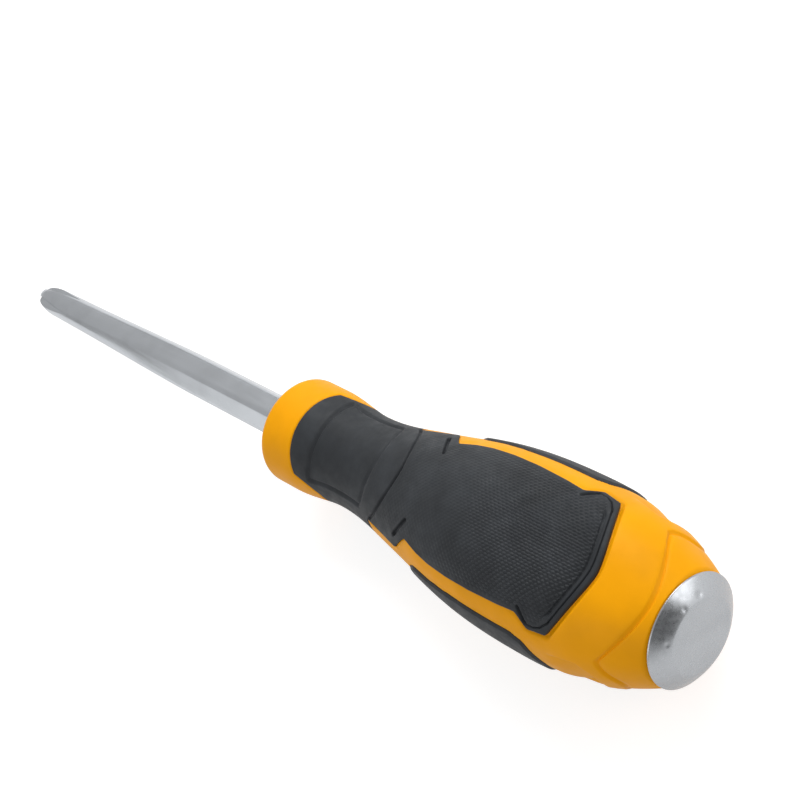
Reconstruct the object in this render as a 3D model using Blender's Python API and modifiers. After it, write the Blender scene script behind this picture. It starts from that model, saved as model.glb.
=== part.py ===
"""Double-ended screwdriver with a steel strike cap and a soft-grip handle.

The handle's axis lies along X. The strike face is at X = 0 and faces +X, and the
blade leaves the collar toward -X. A station is a distance from the strike face
along the axis, so a point at station s has X = -s. Angles round the axis are
measured from +Z toward +Y.
"""
import math

import bmesh
import bpy
from mathutils import Matrix, Vector

# Clearance kept between neighbouring pieces
GAP = 0.0003

# Lengths along the axis: cap, butt to bulge, bulge to waist, waist to collar, collar
CAP_HEIGHT = 0.0027
BUTT_LENGTH = 0.0277
BARREL_LENGTH = 0.0539
NECK_LENGTH = 0.0132
COLLAR_LENGTH = 0.0069
NOSE_ROUND = 0.0018

# Blade: a hexagon bar with a cross tip outside and a flat tip inside
BLADE_LENGTH = 0.150
SOCKET_DEPTH = 0.0554
BLADE_FLATS = 0.008
HEX_TURN = 17.5
CORNER_BREAK = 0.93
TAPER_LENGTH = 0.060
TIP_DIAMETER = 0.0064
TIP_ROUND = 0.0070
TIP_BLUNT = 0.0026
FLUTE_TURN = -37.5
FLUTE_ROOT = 0.00115
FLUTE_LENGTH = 0.014
FLAT_TIP_THICKNESS = 0.0012
FLAT_TIP_LENGTH = 0.015

# Socket sleeve, its head and the friction ring in the head
SLEEVE_WALL = 0.0013
SLEEVE_OVERLAP = 0.0060
HEAD_WALL = 0.0011
HEAD_LENGTH = 0.0118
HEAD_RECESS = 0.0008
RING_WIRE = 0.0007
RING_OPENING = 40.0

# Strike cap with its stem, which takes the end of the rod
FACE_RADIUS = 0.0073
SHOULDER_WIDTH = 0.0032
SHOULDER_BULGE = 0.00015
RIM_HEIGHT = 0.0003
STEM_WALL = 0.0022
STEM_LENGTH = 0.0146
ROD_SEAT = 0.0060

# Walls and girth of the handle
CORE_WALL = 0.0012
GRIP_THICKNESS = 0.0014
BUTT_LEDGE = 0.0001
BULGE_RISE = 0.0075
COLLAR_RISE = 0.00125
BARREL_SKEW = 1.3
BUTT_CURVE = 2.3
SQUARENESS = 0.12
PANEL_FLAT = 13.5
FLAT_FADE = 0.5
STRIP_DROP = 0.0004

# Butt details: the stepped ridge round the cap and the scoops behind the side inserts
RIDGE_START = 0.0017
RIDGE_SWEEP = 0.0064
RIDGE_CORNER = 68.0
RIDGE_RETURN = 0.0023
RIDGE_STEP = 0.00035
RIDGE_WIDTH = 0.0004
SCOOP_LEAD = 0.0148
SCOOP_LENGTH = 0.0026
SCOOP_DEPTH = 0.0011
SCOOP_ANGLE = 64.0
SCOOP_EDGE = 10.0

# Palm panel, from its rear edge forward, with half angles from the panel's middle
PALM_REAR_LEAD = 0.0165
REAR_CORNER_LENGTH = 0.0048
REAR_CORNER_ANGLE = 47.5
REAR_EAR_SLOPE = 0.0013
REAR_EAR_LENGTH = 0.0042
REAR_EAR_ANGLE = 51.5
REAR_NOTCH_LENGTH = 0.0018
PALM_BACK_ANGLE = 43.5
PALM_MIDDLE_ANGLE = 46.0
PALM_FRONT_ANGLE = 47.0

# Front ears of the palm panel, from the waist backward
WAIST_BAND_LENGTH = 0.0125
WAIST_BAND_ANGLE = 62.0
FRONT_EAR_LENGTH = 0.0108
FRONT_EAR_ANGLE = 60.0
FRONT_NOTCH_LENGTH = 0.0037
FRONT_NOTCH_ANGLE = 43.5
FRONT_RUN_LENGTH = 0.0083

# Thumb tongue and pad, from the collar backward
TONGUE_GAP = 0.0023
TONGUE_CORNER_LENGTH = 0.0012
TONGUE_CORNER_ANGLE = 57.0
TONGUE_SIDE_LENGTH = 0.0050
TONGUE_SIDE_ANGLE = 80.0
THUMB_BORDER = 0.0056
THUMB_CORNER_RISE = 0.0006
THUMB_FRONT_ANGLE = 58.0
THUMB_REAR_ANGLE = 52.0
THUMB_REAR_LEAD = 0.0108
THUMB_DEPTH = 0.00035

# Groove between the waist band and the palm
GROOVE_LEAD = 0.0199
GROOVE_SWEEP = 0.0042
GROOVE_ANGLE = 50.0
GROOVE_WIDTH = 0.0005
GROOVE_DEPTH = 0.0004

# Side insert, with half angles from the side's middle
INSERT_FRONT_LEAD = 0.0266
INSERT_FRONT_ANGLE = 20.0
INSERT_SHOULDER_LENGTH = 0.0020
INSERT_SHOULDER_ANGLE = 26.0
INSERT_MIDDLE_ANGLE = 29.0
INSERT_BACK_LEAD = 0.0019
INSERT_NECK_LENGTH = 0.0029
INSERT_NECK_ANGLE = 24.5
INSERT_REAR_LENGTH = 0.0020
INSERT_REAR_ANGLE = 6.0

# Mesh fineness, and how far the soft pieces' surface is carried past their ends
SIDE_STEPS = 17
TURNED_STEPS = 36
SHOULDER_STEPS = 6
PAST_END = 0.0026

# Stations that follow from the lengths
SEAT_STATION = CAP_HEIGHT + GAP
BULGE_STATION = SEAT_STATION + BUTT_LENGTH
WAIST_STATION = BULGE_STATION + BARREL_LENGTH
COLLAR_STATION = WAIST_STATION + NECK_LENGTH
HANDLE_LENGTH = COLLAR_STATION + COLLAR_LENGTH
BLADE_INNER = HANDLE_LENGTH - SOCKET_DEPTH
BLADE_END = BLADE_INNER + BLADE_LENGTH
SLEEVE_REAR = BLADE_INNER - SLEEVE_OVERLAP
SLEEVE_FRONT = HANDLE_LENGTH - HEAD_RECESS
HEAD_REAR = SLEEVE_FRONT - HEAD_LENGTH
RING_STATION = SLEEVE_FRONT - HEAD_LENGTH / 2
STEM_END = CAP_HEIGHT + STEM_LENGTH
SCOOP_STATION = BULGE_STATION - SCOOP_LEAD
PALM_REAR = BULGE_STATION - PALM_REAR_LEAD
PALM_CORNER = PALM_REAR + REAR_CORNER_LENGTH
WAIST_BAND = WAIST_STATION - WAIST_BAND_LENGTH
TONGUE_FRONT = COLLAR_STATION - TONGUE_GAP
TONGUE_CORNER = TONGUE_FRONT - TONGUE_CORNER_LENGTH
TONGUE_SIDE = TONGUE_CORNER - TONGUE_SIDE_LENGTH
INSERT_FRONT = WAIST_STATION - INSERT_FRONT_LEAD
INSERT_BACK = BULGE_STATION - INSERT_BACK_LEAD
INSERT_REAR = INSERT_BACK - INSERT_NECK_LENGTH - INSERT_REAR_LENGTH

# Radii and widths that follow from what fits inside what
BORE_FLATS = BLADE_FLATS + 2 * GAP
SLEEVE_FLATS = BORE_FLATS + 2 * SLEEVE_WALL
BAR_CORNER = BLADE_FLATS / math.sqrt(3)
RING_RADIUS = BAR_CORNER + GAP + RING_WIRE / 2
RING_ROOM = RING_WIRE / 2 + GAP
HEAD_RADIUS = RING_RADIUS + RING_ROOM + HEAD_WALL
ROD_RADIUS = BLADE_FLATS / 2
STEM_RADIUS = ROD_RADIUS + GAP + STEM_WALL
CAP_RADIUS = FACE_RADIUS + SHOULDER_WIDTH
BUTT_RADIUS = CAP_RADIUS + BUTT_LEDGE
WAIST_RADIUS = SLEEVE_FLATS / math.sqrt(3) + CORE_WALL + GRIP_THICKNESS + 2 * GAP
BULGE_RADIUS = WAIST_RADIUS + BULGE_RISE
COLLAR_RADIUS = WAIST_RADIUS + COLLAR_RISE
BEYOND = BULGE_RADIUS * 1.5


def clear_scene():
    for old in list(bpy.data.objects):
        bpy.data.objects.remove(old, do_unlink=True)


def new_collection(name):
    group = bpy.data.collections.new(name)
    bpy.context.scene.collection.children.link(group)
    return group


def material(name, colour, roughness, metallic=0.0):
    mat = bpy.data.materials.new(name)
    mat.use_nodes = True
    shader = mat.node_tree.nodes["Principled BSDF"]
    shader.inputs["Base Color"].default_value = (*colour, 1.0)
    shader.inputs["Roughness"].default_value = roughness
    shader.inputs["Metallic"].default_value = metallic
    mat.diffuse_color = (*colour, 1.0)
    return mat


def add_object(name, data, group, mat=None):
    obj = bpy.data.objects.new(name, data)
    group.objects.link(obj)
    if mat is not None:
        data.materials.append(mat)
    return obj


def add_cutter(name, data, group):
    obj = add_object(name, data, group)
    obj.hide_render = True
    obj.display_type = "WIRE"
    return obj


def boolean(obj, tool, operation):
    mod = obj.modifiers.new(tool.name, "BOOLEAN")
    mod.object = tool
    mod.operation = operation
    mod.solver = "EXACT"


# Shape of the handle

def ease(value):
    return (1 - math.cos(math.pi * min(max(value, 0.0), 1.0))) / 2


def outline_radius(station):
    """Radius of the handle at a station, as seen from the side."""
    if station < BULGE_STATION:
        share = (BULGE_STATION - station) / (BULGE_STATION - SEAT_STATION)
        return BULGE_RADIUS - (BULGE_RADIUS - BUTT_RADIUS) * share ** BUTT_CURVE
    if station < WAIST_STATION:
        share = (station - BULGE_STATION) / (WAIST_STATION - BULGE_STATION)
        return BULGE_RADIUS - (BULGE_RADIUS - WAIST_RADIUS) * ease(share ** BARREL_SKEW)
    share = (station - WAIST_STATION) / (COLLAR_STATION - WAIST_STATION)
    radius = WAIST_RADIUS + (COLLAR_RADIUS - WAIST_RADIUS) * ease(share)
    into_nose = station - (HANDLE_LENGTH - NOSE_ROUND)
    if into_nose > 0:
        into_nose = min(into_nose, NOSE_ROUND)
        radius -= NOSE_ROUND - math.sqrt(NOSE_ROUND ** 2 - into_nose ** 2)
    return radius


def from_panel(angle):
    """Angle in degrees from the nearer palm panel's middle, 0 to 90."""
    turned = abs(math.degrees(angle)) % 180
    return min(turned, 180 - turned)


def girth_share(station):
    """0 where the handle is no thicker than its waist, 1 at the bulge."""
    girth = (outline_radius(station) - WAIST_RADIUS) / (BULGE_RADIUS - WAIST_RADIUS)
    return min(max(girth, 0.0), 1.0)


def squared_radius(station, angle):
    """Radius of the slightly squared section at an angle."""
    power = 2 + SQUARENESS * girth_share(station)
    total = abs(math.cos(angle)) ** power + abs(math.sin(angle)) ** power
    return outline_radius(station) * total ** (-1 / power)


def grip_radius(station, angle):
    """The section with a flat in the middle of each palm panel, on which the handle lies."""
    edge = math.radians(PANEL_FLAT) * min(girth_share(station) / FLAT_FADE, 1.0)
    off = math.radians(from_panel(angle))
    if off >= edge:
        return squared_radius(station, angle)
    return squared_radius(station, edge) * math.cos(edge) / math.cos(off)


def ridge_station(angle):
    """The ridge's line: near the cap on the panels, swept forward to its corners."""
    off = from_panel(angle)
    start = SEAT_STATION + RIDGE_START
    if off <= RIDGE_CORNER:
        return start + RIDGE_SWEEP * (off / RIDGE_CORNER) ** 2
    share = (off - RIDGE_CORNER) / (90 - RIDGE_CORNER)
    return start + RIDGE_SWEEP - RIDGE_RETURN * share


def core_radius(station, angle):
    """Radius of the hard handle: the strips lie lower, and scoops run in at the sides."""
    radius = grip_radius(station, angle)
    back = ease((station - PALM_REAR) / (INSERT_REAR - PALM_REAR))
    front = ease((TONGUE_FRONT - station) / (TONGUE_FRONT - WAIST_BAND))
    radius -= STRIP_DROP * back * front
    away = (station - SCOOP_STATION) / SCOOP_LENGTH
    side = ease((from_panel(angle) - SCOOP_ANGLE) / SCOOP_EDGE)
    return radius - SCOOP_DEPTH * side * math.exp(-away ** 2)


def ring_angles():
    """Both edges of each panel's flat, and even steps round the sides."""
    angles = []
    for middle in (0.0, 180.0):
        for turn in spread(middle + PANEL_FLAT, middle + 180 - PANEL_FLAT, SIDE_STEPS + 1):
            angles.append(math.radians(turn))
    return angles


def core_angles():
    """The same, with each flat divided, because the butt and the collar are round."""
    inside = [math.radians(middle + PANEL_FLAT * share)
              for middle in (0.0, 180.0) for share in (-1 / 3, 1 / 3)]
    return sorted(ring_angles() + inside)


def on_ring(station, radius, angle):
    return Vector((-station, radius * math.sin(angle), radius * math.cos(angle)))


def loft(name, rings):
    """Closed skin through rings that all have as many points, with flat ends."""
    bm = bmesh.new()
    rows = [[bm.verts.new(point) for point in ring] for ring in rings]
    count = len(rows[0])
    for row, following in zip(rows, rows[1:]):
        for step in range(count):
            after = (step + 1) % count
            bm.faces.new((row[step], row[after], following[after], following[step]))
    bm.faces.new(rows[0])
    bm.faces.new(rows[-1])
    bmesh.ops.recalc_face_normals(bm, faces=bm.faces)
    mesh = bpy.data.meshes.new(name)
    bm.to_mesh(mesh)
    bm.free()
    return mesh


def envelope_mesh(name, inset, stations):
    """The handle's grip surface moved inward by an inset."""
    rings = []
    for station in stations:
        rings.append([on_ring(station, grip_radius(station, angle) - inset, angle)
                      for angle in ring_angles()])
    return loft(name, rings)


def spread(first, last, count):
    return [first + (last - first) * step / (count - 1) for step in range(count)]


def grip_stations():
    """Stations where the grip's surface has a ring, a little past the piece's own ends."""
    butt = spread(PALM_REAR - PAST_END, BULGE_STATION, 6)
    barrel = spread(BULGE_STATION, WAIST_STATION, 13)
    neck = spread(WAIST_STATION, COLLAR_STATION, 5)
    return butt + barrel[1:] + neck[1:]


def wide_stations():
    """The same stations, carried on past both ends for cutters."""
    inner = grip_stations()
    return [inner[0] - PAST_END] + inner + [inner[-1] + PAST_END]


def core_rings():
    """Rings of the hard handle, which follow the ridge near the cap."""
    plain = SEAT_STATION + RIDGE_START + RIDGE_SWEEP + PAST_END
    rings = []
    for share in (0.0, 0.5, 1.0):
        rings.append([(SEAT_STATION + (ridge_station(a) - RIDGE_WIDTH - SEAT_STATION) * share,
                       RIDGE_STEP, a) for a in core_angles()])
    for share in (0.0, 0.5, 1.0):
        rings.append([(ridge_station(a) + (plain - ridge_station(a)) * share, 0.0, a)
                      for a in core_angles()])
    scoop = spread(plain, SCOOP_STATION + 1.5 * SCOOP_LENGTH, 6)
    barrel = spread(scoop[-1], WAIST_STATION, 14)
    collar = spread(WAIST_STATION, COLLAR_STATION, 5)
    nose_start = HANDLE_LENGTH - NOSE_ROUND
    nose = [nose_start + NOSE_ROUND * math.sin(math.radians(turn)) for turn in (0, 30, 60, 78, 90)]
    for station in scoop[1:] + barrel[1:] + collar[1:] + nose:
        rings.append([(station, 0.0, a) for a in core_angles()])
    return [[on_ring(s, core_radius(s, a) - drop, a) for s, drop, a in ring] for ring in rings]


# Outlines of the soft pieces

def half_width(place):
    """Distance from the middle plane of a point given as station and angle."""
    station, degrees = place
    angle = math.radians(degrees)
    return grip_radius(station, angle) * math.sin(angle)


def edge_points(places):
    return [(place[0], half_width(place)) for place in places]


def arc_points(middle, corner_station, corner_width, count):
    """Curved edge from one corner to the other through a middle station."""
    return [(middle + (corner_station - middle) * share ** 2, corner_width * share)
            for share in spread(-1.0, 1.0, count)]


def mirrored(right_side):
    return [(station, -width) for station, width in reversed(right_side)]


def palm_places():
    """Side edge of the palm panel, from the rear corner to the waist band."""
    ear_back = PALM_CORNER + REAR_EAR_SLOPE
    ear_front = ear_back + REAR_EAR_LENGTH
    back = ear_front + REAR_NOTCH_LENGTH
    front_ear = WAIST_BAND - FRONT_EAR_LENGTH
    notch = front_ear - FRONT_NOTCH_LENGTH
    front = notch - FRONT_RUN_LENGTH
    return [(PALM_CORNER, REAR_CORNER_ANGLE), (ear_back, REAR_EAR_ANGLE),
            (ear_front, REAR_EAR_ANGLE), (back, PALM_BACK_ANGLE),
            ((back + front) / 2, PALM_MIDDLE_ANGLE), (front, PALM_FRONT_ANGLE),
            (notch, FRONT_NOTCH_ANGLE), (front_ear, FRONT_EAR_ANGLE),
            (WAIST_BAND, WAIST_BAND_ANGLE)]


def grip_outline():
    """The whole soft grip seen square on: palm, waist band and thumb tongue."""
    right = edge_points(palm_places())
    right += [(WAIST_BAND, BEYOND), (TONGUE_SIDE, BEYOND)]
    right += edge_points([(TONGUE_SIDE, TONGUE_SIDE_ANGLE)])
    front = arc_points(TONGUE_FRONT, TONGUE_CORNER,
                       half_width((TONGUE_CORNER, TONGUE_CORNER_ANGLE)), 9)
    rear = arc_points(PALM_REAR, PALM_CORNER, half_width((PALM_CORNER, REAR_CORNER_ANGLE)), 9)
    return right + front[::-1] + mirrored(right) + rear[1:-1]


def thumb_outline():
    rear = WAIST_STATION - THUMB_REAR_LEAD
    front = TONGUE_FRONT - THUMB_BORDER
    corner = front + THUMB_CORNER_RISE
    rear_width = half_width((rear, THUMB_REAR_ANGLE))
    arc = arc_points(front, corner, half_width((corner, THUMB_FRONT_ANGLE)), 7)
    return [(rear, rear_width)] + arc[::-1] + [(rear, -rear_width)]


def groove_outline():
    """A narrow band across the panel, bowed toward the butt in the middle."""
    middle = WAIST_STATION - GROOVE_LEAD
    corner = middle + GROOVE_SWEEP
    line = arc_points(middle, corner, half_width((corner, GROOVE_ANGLE)), 7)
    back = [(station - GROOVE_WIDTH / 2, width) for station, width in line]
    front = [(station + GROOVE_WIDTH / 2, width) for station, width in reversed(line)]
    return back + front


def insert_outline():
    shoulder = INSERT_FRONT - INSERT_SHOULDER_LENGTH
    right = edge_points([
        (INSERT_REAR, INSERT_REAR_ANGLE),
        (INSERT_BACK - INSERT_NECK_LENGTH, INSERT_NECK_ANGLE),
        (INSERT_BACK, INSERT_MIDDLE_ANGLE),
        ((INSERT_BACK + shoulder) / 2, INSERT_MIDDLE_ANGLE),
        (shoulder, INSERT_SHOULDER_ANGLE),
        (INSERT_FRONT, INSERT_FRONT_ANGLE)])
    return right + mirrored(right)


def grown(outline, distance):
    """The outline moved outward by a distance, corner by corner."""
    points = [Vector(point) for point in outline]
    turning = sum(a.x * b.y - b.x * a.y for a, b in zip(points, points[1:] + points[:1]))
    outward = 1 if turning > 0 else -1
    result = []
    for index, point in enumerate(points):
        before = (point - points[index - 1]).normalized()
        after = (points[(index + 1) % len(points)] - point).normalized()
        normal = Vector((before.y + after.y, -before.x - after.x)).normalized() * outward
        side = Vector((before.y, -before.x)) * outward
        result.append(point + normal * distance / max(normal.dot(side), 0.5))
    return result


def prism_mesh(name, outline, low, high, upright=True):
    """An outline given as stations and widths, extruded along Z or, not upright, along Y."""
    rings = []
    for level in (low, high):
        if upright:
            rings.append([Vector((-station, width, level)) for station, width in outline])
        else:
            rings.append([Vector((-station, level, width)) for station, width in outline])
    return loft(name, rings)


# Turned and prismatic solids

def turned(name, profile, group, mat=None):
    """A profile of stations and radii turned round the X axis."""
    mesh = bpy.data.meshes.new(name)
    points = [(-station, 0.0, radius) for station, radius in profile]
    edges = [(step, step + 1) for step in range(len(points) - 1)]
    mesh.from_pydata(points, edges, [])
    obj = add_object(name, mesh, group, mat)
    screw = obj.modifiers.new("turn", "SCREW")
    screw.axis = "X"
    screw.steps = TURNED_STEPS
    screw.render_steps = TURNED_STEPS
    screw.use_merge_vertices = True
    screw.merge_threshold = 0.00001
    screw.use_normal_calculate = True
    screw.use_normal_flip = True
    return obj


def cylinder_mesh(name, radius, start, end, sides=TURNED_STEPS, turn=0.0):
    bm = bmesh.new()
    bmesh.ops.create_cone(bm, cap_ends=True, segments=sides, radius1=radius,
                          radius2=radius, depth=end - start)
    place = Matrix.Translation((-(start + end) / 2, 0, 0)) @ Matrix.Rotation(-turn, 4, "X")
    bm.transform(place @ Matrix.Rotation(math.radians(90), 4, "Y"))
    mesh = bpy.data.meshes.new(name)
    bm.to_mesh(mesh)
    bm.free()
    return mesh


def hexagon_mesh(name, flats, start, end):
    return cylinder_mesh(name, flats / math.sqrt(3), start, end, 6,
                         math.radians(HEX_TURN + 30))


# Blade

def bar_radius(angle):
    """Radius of the hexagon bar, with its corners turned off a little."""
    facet = math.radians(60)
    off = (angle - math.radians(HEX_TURN) + facet / 2) % facet - facet / 2
    return min(BLADE_FLATS / 2 / math.cos(off), BAR_CORNER * CORNER_BREAK)


def bar_angles():
    """Both edges of every broken corner, and the middle of every flat."""
    edge = math.acos(BLADE_FLATS / 2 / (BAR_CORNER * CORNER_BREAK))
    angles = []
    for facet in range(6):
        middle = math.radians(HEX_TURN + 60 * facet)
        angles += [middle - edge, middle - edge / 2, middle, middle + edge / 2, middle + edge]
    return angles


def blade_section(station):
    """Ring of the bar at a station: hexagon, then round, then the blunt end."""
    taper_start = BLADE_END - TAPER_LENGTH
    round_start = BLADE_END - TIP_ROUND
    share = min(max((station - taper_start) / (round_start - taper_start), 0.0), 1.0)
    end_share = min(max((station - round_start) / TIP_ROUND, 0.0), 1.0)
    tip = TIP_BLUNT / 2 + (TIP_DIAMETER - TIP_BLUNT) / 2 * math.sqrt(1 - end_share ** 2)
    ring = []
    for angle in bar_angles():
        radius = bar_radius(angle) * (1 - share) + tip * share
        ring.append(on_ring(station, radius, angle))
    return ring


def flute_mesh(name, angle):
    """A square bar whose lower edge runs out of the tip."""
    rise = TIP_DIAMETER / 2 - FLUTE_ROOT
    tilt = math.atan2(rise, FLUTE_LENGTH)
    side = TIP_DIAMETER
    bm = bmesh.new()
    bmesh.ops.create_cube(bm, size=1.0)
    bm.transform(Matrix.Diagonal((4 * FLUTE_LENGTH, side, side, 1.0)))
    bm.transform(Matrix.Rotation(math.radians(45), 4, "X"))
    bm.transform(Matrix.Translation((0, 0, side / math.sqrt(2))))
    bm.transform(Matrix.Rotation(-tilt, 4, "Y"))
    bm.transform(Matrix.Translation((-BLADE_END, 0, FLUTE_ROOT)))
    bm.transform(Matrix.Rotation(-angle, 4, "X"))
    mesh = bpy.data.meshes.new(name)
    bm.to_mesh(mesh)
    bm.free()
    return mesh


def wedge_mesh(name, side):
    """A block that takes one cheek off the flat tip, deepest at the end."""
    thin = FLAT_TIP_THICKNESS / 2
    thick = BAR_CORNER
    far = BLADE_FLATS
    start = BLADE_INNER - FLAT_TIP_LENGTH / 5
    reach = FLAT_TIP_LENGTH / 2
    profile = [(start, thin), (BLADE_INNER + FLAT_TIP_LENGTH / 8, thin),
               (BLADE_INNER + reach, thin + (thick - thin) * 0.42),
               (BLADE_INNER + FLAT_TIP_LENGTH, thick + GAP),
               (BLADE_INNER + FLAT_TIP_LENGTH, far), (start, far)]
    outline = [(station, level * side) for station, level in profile]
    mesh = prism_mesh(name, outline, -far, far, upright=False)
    mesh.transform(Matrix.Rotation(-math.radians(HEX_TURN), 4, "X"))
    return mesh


def make_blade(group, cutters, mat):
    taper_start = BLADE_END - TAPER_LENGTH
    round_start = BLADE_END - TIP_ROUND
    stations = [BLADE_INNER, taper_start] + spread(taper_start, round_start, 6)[1:]
    stations += [round_start + TIP_ROUND * math.sin(math.radians(turn))
                 for turn in (25, 45, 63, 78, 90)]
    rings = [blade_section(station) for station in stations]
    blade = add_object("blade", loft("blade", rings), group, mat)
    for index in range(4):
        angle = math.radians(FLUTE_TURN + 90 * index)
        cut = add_cutter(f"cut_flute_{index + 1}", flute_mesh("flute", angle), cutters)
        boolean(blade, cut, "DIFFERENCE")
    for label, side in (("upper", 1), ("lower", -1)):
        cut = add_cutter(f"cut_cheek_{label}", wedge_mesh("cheek", side), cutters)
        boolean(blade, cut, "DIFFERENCE")
    return blade


# Parts inside the handle

def make_sleeve(group, cutters, mat):
    body = hexagon_mesh("socket_sleeve", SLEEVE_FLATS, SLEEVE_REAR, SLEEVE_FRONT - GAP)
    sleeve = add_object("socket_sleeve", body, group, mat)
    head = add_cutter("join_sleeve_head",
                      cylinder_mesh("head", HEAD_RADIUS, HEAD_REAR, SLEEVE_FRONT), cutters)
    boolean(sleeve, head, "UNION")
    bore = add_cutter("cut_sleeve_bore",
                      hexagon_mesh("bore", BORE_FLATS, SLEEVE_REAR - GAP, SLEEVE_FRONT + GAP),
                      cutters)
    boolean(sleeve, bore, "DIFFERENCE")
    groove = add_cutter("cut_ring_groove",
                        cylinder_mesh("groove", RING_RADIUS + RING_ROOM,
                                      RING_STATION - RING_ROOM, RING_STATION + RING_ROOM),
                        cutters)
    boolean(sleeve, groove, "DIFFERENCE")
    return sleeve


def make_ring(group, mat):
    """Open ring of spring wire in the sleeve's groove."""
    curve = bpy.data.curves.new("retaining_ring", "CURVE")
    curve.dimensions = "3D"
    curve.bevel_depth = RING_WIRE / 2
    curve.bevel_resolution = 2
    curve.use_fill_caps = True
    spline = curve.splines.new("POLY")
    angles = [math.radians(turn) for turn in spread(RING_OPENING / 2, 360 - RING_OPENING / 2, 28)]
    spline.points.add(len(angles) - 1)
    for point, angle in zip(spline.points, angles):
        point.co = (*on_ring(RING_STATION, RING_RADIUS, angle), 1.0)
    return add_object("retaining_ring", curve, group, mat)


def make_rod(group, mat):
    mesh = cylinder_mesh("impact_rod", ROD_RADIUS, ROD_SEAT, BLADE_INNER - GAP)
    return add_object("impact_rod", mesh, group, mat)


def make_cap(group, mat):
    """Strike cap: flat face, slightly rounded cone, rim and a bored stem."""
    shoulder = []
    for share in spread(0.0, 1.0, SHOULDER_STEPS):
        bulge = SHOULDER_BULGE * math.sin(math.pi * share)
        shoulder.append(((CAP_HEIGHT - RIM_HEIGHT) * share,
                         FACE_RADIUS + SHOULDER_WIDTH * share + bulge))
    hole = ROD_RADIUS + GAP
    hole_end = ROD_SEAT - GAP
    profile = [(0.0, 0.0)] + shoulder
    profile += [(CAP_HEIGHT, CAP_RADIUS), (CAP_HEIGHT, STEM_RADIUS), (STEM_END, STEM_RADIUS),
                (STEM_END, hole), (hole_end, hole), (hole_end, 0.0)]
    return turned("strike_cap", profile, group, mat)


# Handle core and soft pieces

def pocket(name, outline, upright, cutters, depth=GRIP_THICKNESS + GAP, low=-BEYOND):
    """Cutter for a recess under a soft piece: the grown outline outside the floor surface."""
    mesh = prism_mesh(name, grown(outline, GAP), low, BEYOND, upright)
    tool = add_cutter(name, mesh, cutters)
    floor = add_cutter(name + "_floor", envelope_mesh("floor", depth, wide_stations()), cutters)
    boolean(tool, floor, "DIFFERENCE")
    return tool


def make_core(group, cutters, mat):
    core = add_object("handle_core", loft("handle_core", core_rings()), group, mat)
    for name, radius, start, end in (
            ("cut_stem_bore", STEM_RADIUS + GAP, 0.0, STEM_END + GAP),
            ("cut_rod_bore", ROD_RADIUS + GAP, STEM_END, SLEEVE_REAR),
            ("cut_head_bore", HEAD_RADIUS + GAP, HEAD_REAR - GAP, HANDLE_LENGTH + GAP)):
        cut = add_cutter(name, cylinder_mesh(name, radius, start, end), cutters)
        boolean(core, cut, "DIFFERENCE")
    cut = add_cutter("cut_sleeve_seat",
                     hexagon_mesh("seat", SLEEVE_FLATS + 2 * GAP, SLEEVE_REAR - GAP,
                                  HEAD_REAR), cutters)
    boolean(core, cut, "DIFFERENCE")
    boolean(core, pocket("cut_grip_pocket", grip_outline(), True, cutters), "DIFFERENCE")
    for label, side in (("left", 1), ("right", -1)):
        cut = pocket(f"cut_insert_pocket_{label}", insert_outline(), False, cutters, low=0.0)
        cut.scale.y = side
        boolean(core, cut, "DIFFERENCE")
    return core


def shallow_cutter(name, outline, depth, cutters):
    """Cutter that lowers the grip's surface inside an outline."""
    tool = add_cutter(name, prism_mesh(name, outline, -BEYOND, BEYOND), cutters)
    floor = add_cutter(name + "_floor", envelope_mesh("floor", depth, grip_stations()), cutters)
    boolean(tool, floor, "DIFFERENCE")
    return tool


def make_grip(group, cutters, mat):
    """Soft overmould: thumb tongues, waist band and both palm panels in one piece."""
    grip = add_object("grip_overmould", envelope_mesh("grip_overmould", 0.0, grip_stations()),
                      group, mat)
    mask = add_cutter("keep_grip", prism_mesh("mask", grip_outline(), -BEYOND, BEYOND), cutters)
    boolean(grip, mask, "INTERSECT")
    floor = add_cutter("cut_grip_floor",
                       envelope_mesh("floor", GRIP_THICKNESS, wide_stations()), cutters)
    boolean(grip, floor, "DIFFERENCE")
    boolean(grip, shallow_cutter("cut_thumb_pad", thumb_outline(), THUMB_DEPTH, cutters),
            "DIFFERENCE")
    boolean(grip, shallow_cutter("cut_palm_groove", groove_outline(), GROOVE_DEPTH, cutters),
            "DIFFERENCE")
    return grip


def make_insert(name, side, group, cutters, mat):
    insert = add_object(name, envelope_mesh(name, 0.0, grip_stations()), group, mat)
    low, high = sorted((0.0, BEYOND * side))
    mask = add_cutter("keep_" + name, prism_mesh("mask", insert_outline(), low, high, False),
                      cutters)
    boolean(insert, mask, "INTERSECT")
    floor = add_cutter("cut_" + name,
                       envelope_mesh("floor", GRIP_THICKNESS, wide_stations()), cutters)
    boolean(insert, floor, "DIFFERENCE")
    return insert


def main():
    clear_scene()
    group = new_collection("double_ended_screwdriver")
    cutters = new_collection("cutters")
    chrome = material("satin chrome", (0.62, 0.64, 0.67), 0.28, 1.0)
    cap_steel = material("plated steel", (0.58, 0.59, 0.60), 0.32, 1.0)
    plain_steel = material("plain steel", (0.42, 0.42, 0.43), 0.45, 1.0)
    spring_steel = material("spring steel", (0.30, 0.31, 0.33), 0.35, 1.0)
    hard_plastic = material("yellow plastic", (0.86, 0.42, 0.01), 0.38)
    soft_rubber = material("black soft grip", (0.030, 0.033, 0.037), 0.62)
    make_blade(group, cutters, chrome)
    make_sleeve(group, cutters, plain_steel)
    make_ring(group, spring_steel)
    make_rod(group, plain_steel)
    make_cap(group, cap_steel)
    make_core(group, cutters, hard_plastic)
    make_grip(group, cutters, soft_rubber)
    make_insert("side_insert_left", 1, group, cutters, soft_rubber)
    make_insert("side_insert_right", -1, group, cutters, soft_rubber)
    print("built", len(group.objects), "pieces")


main()
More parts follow.
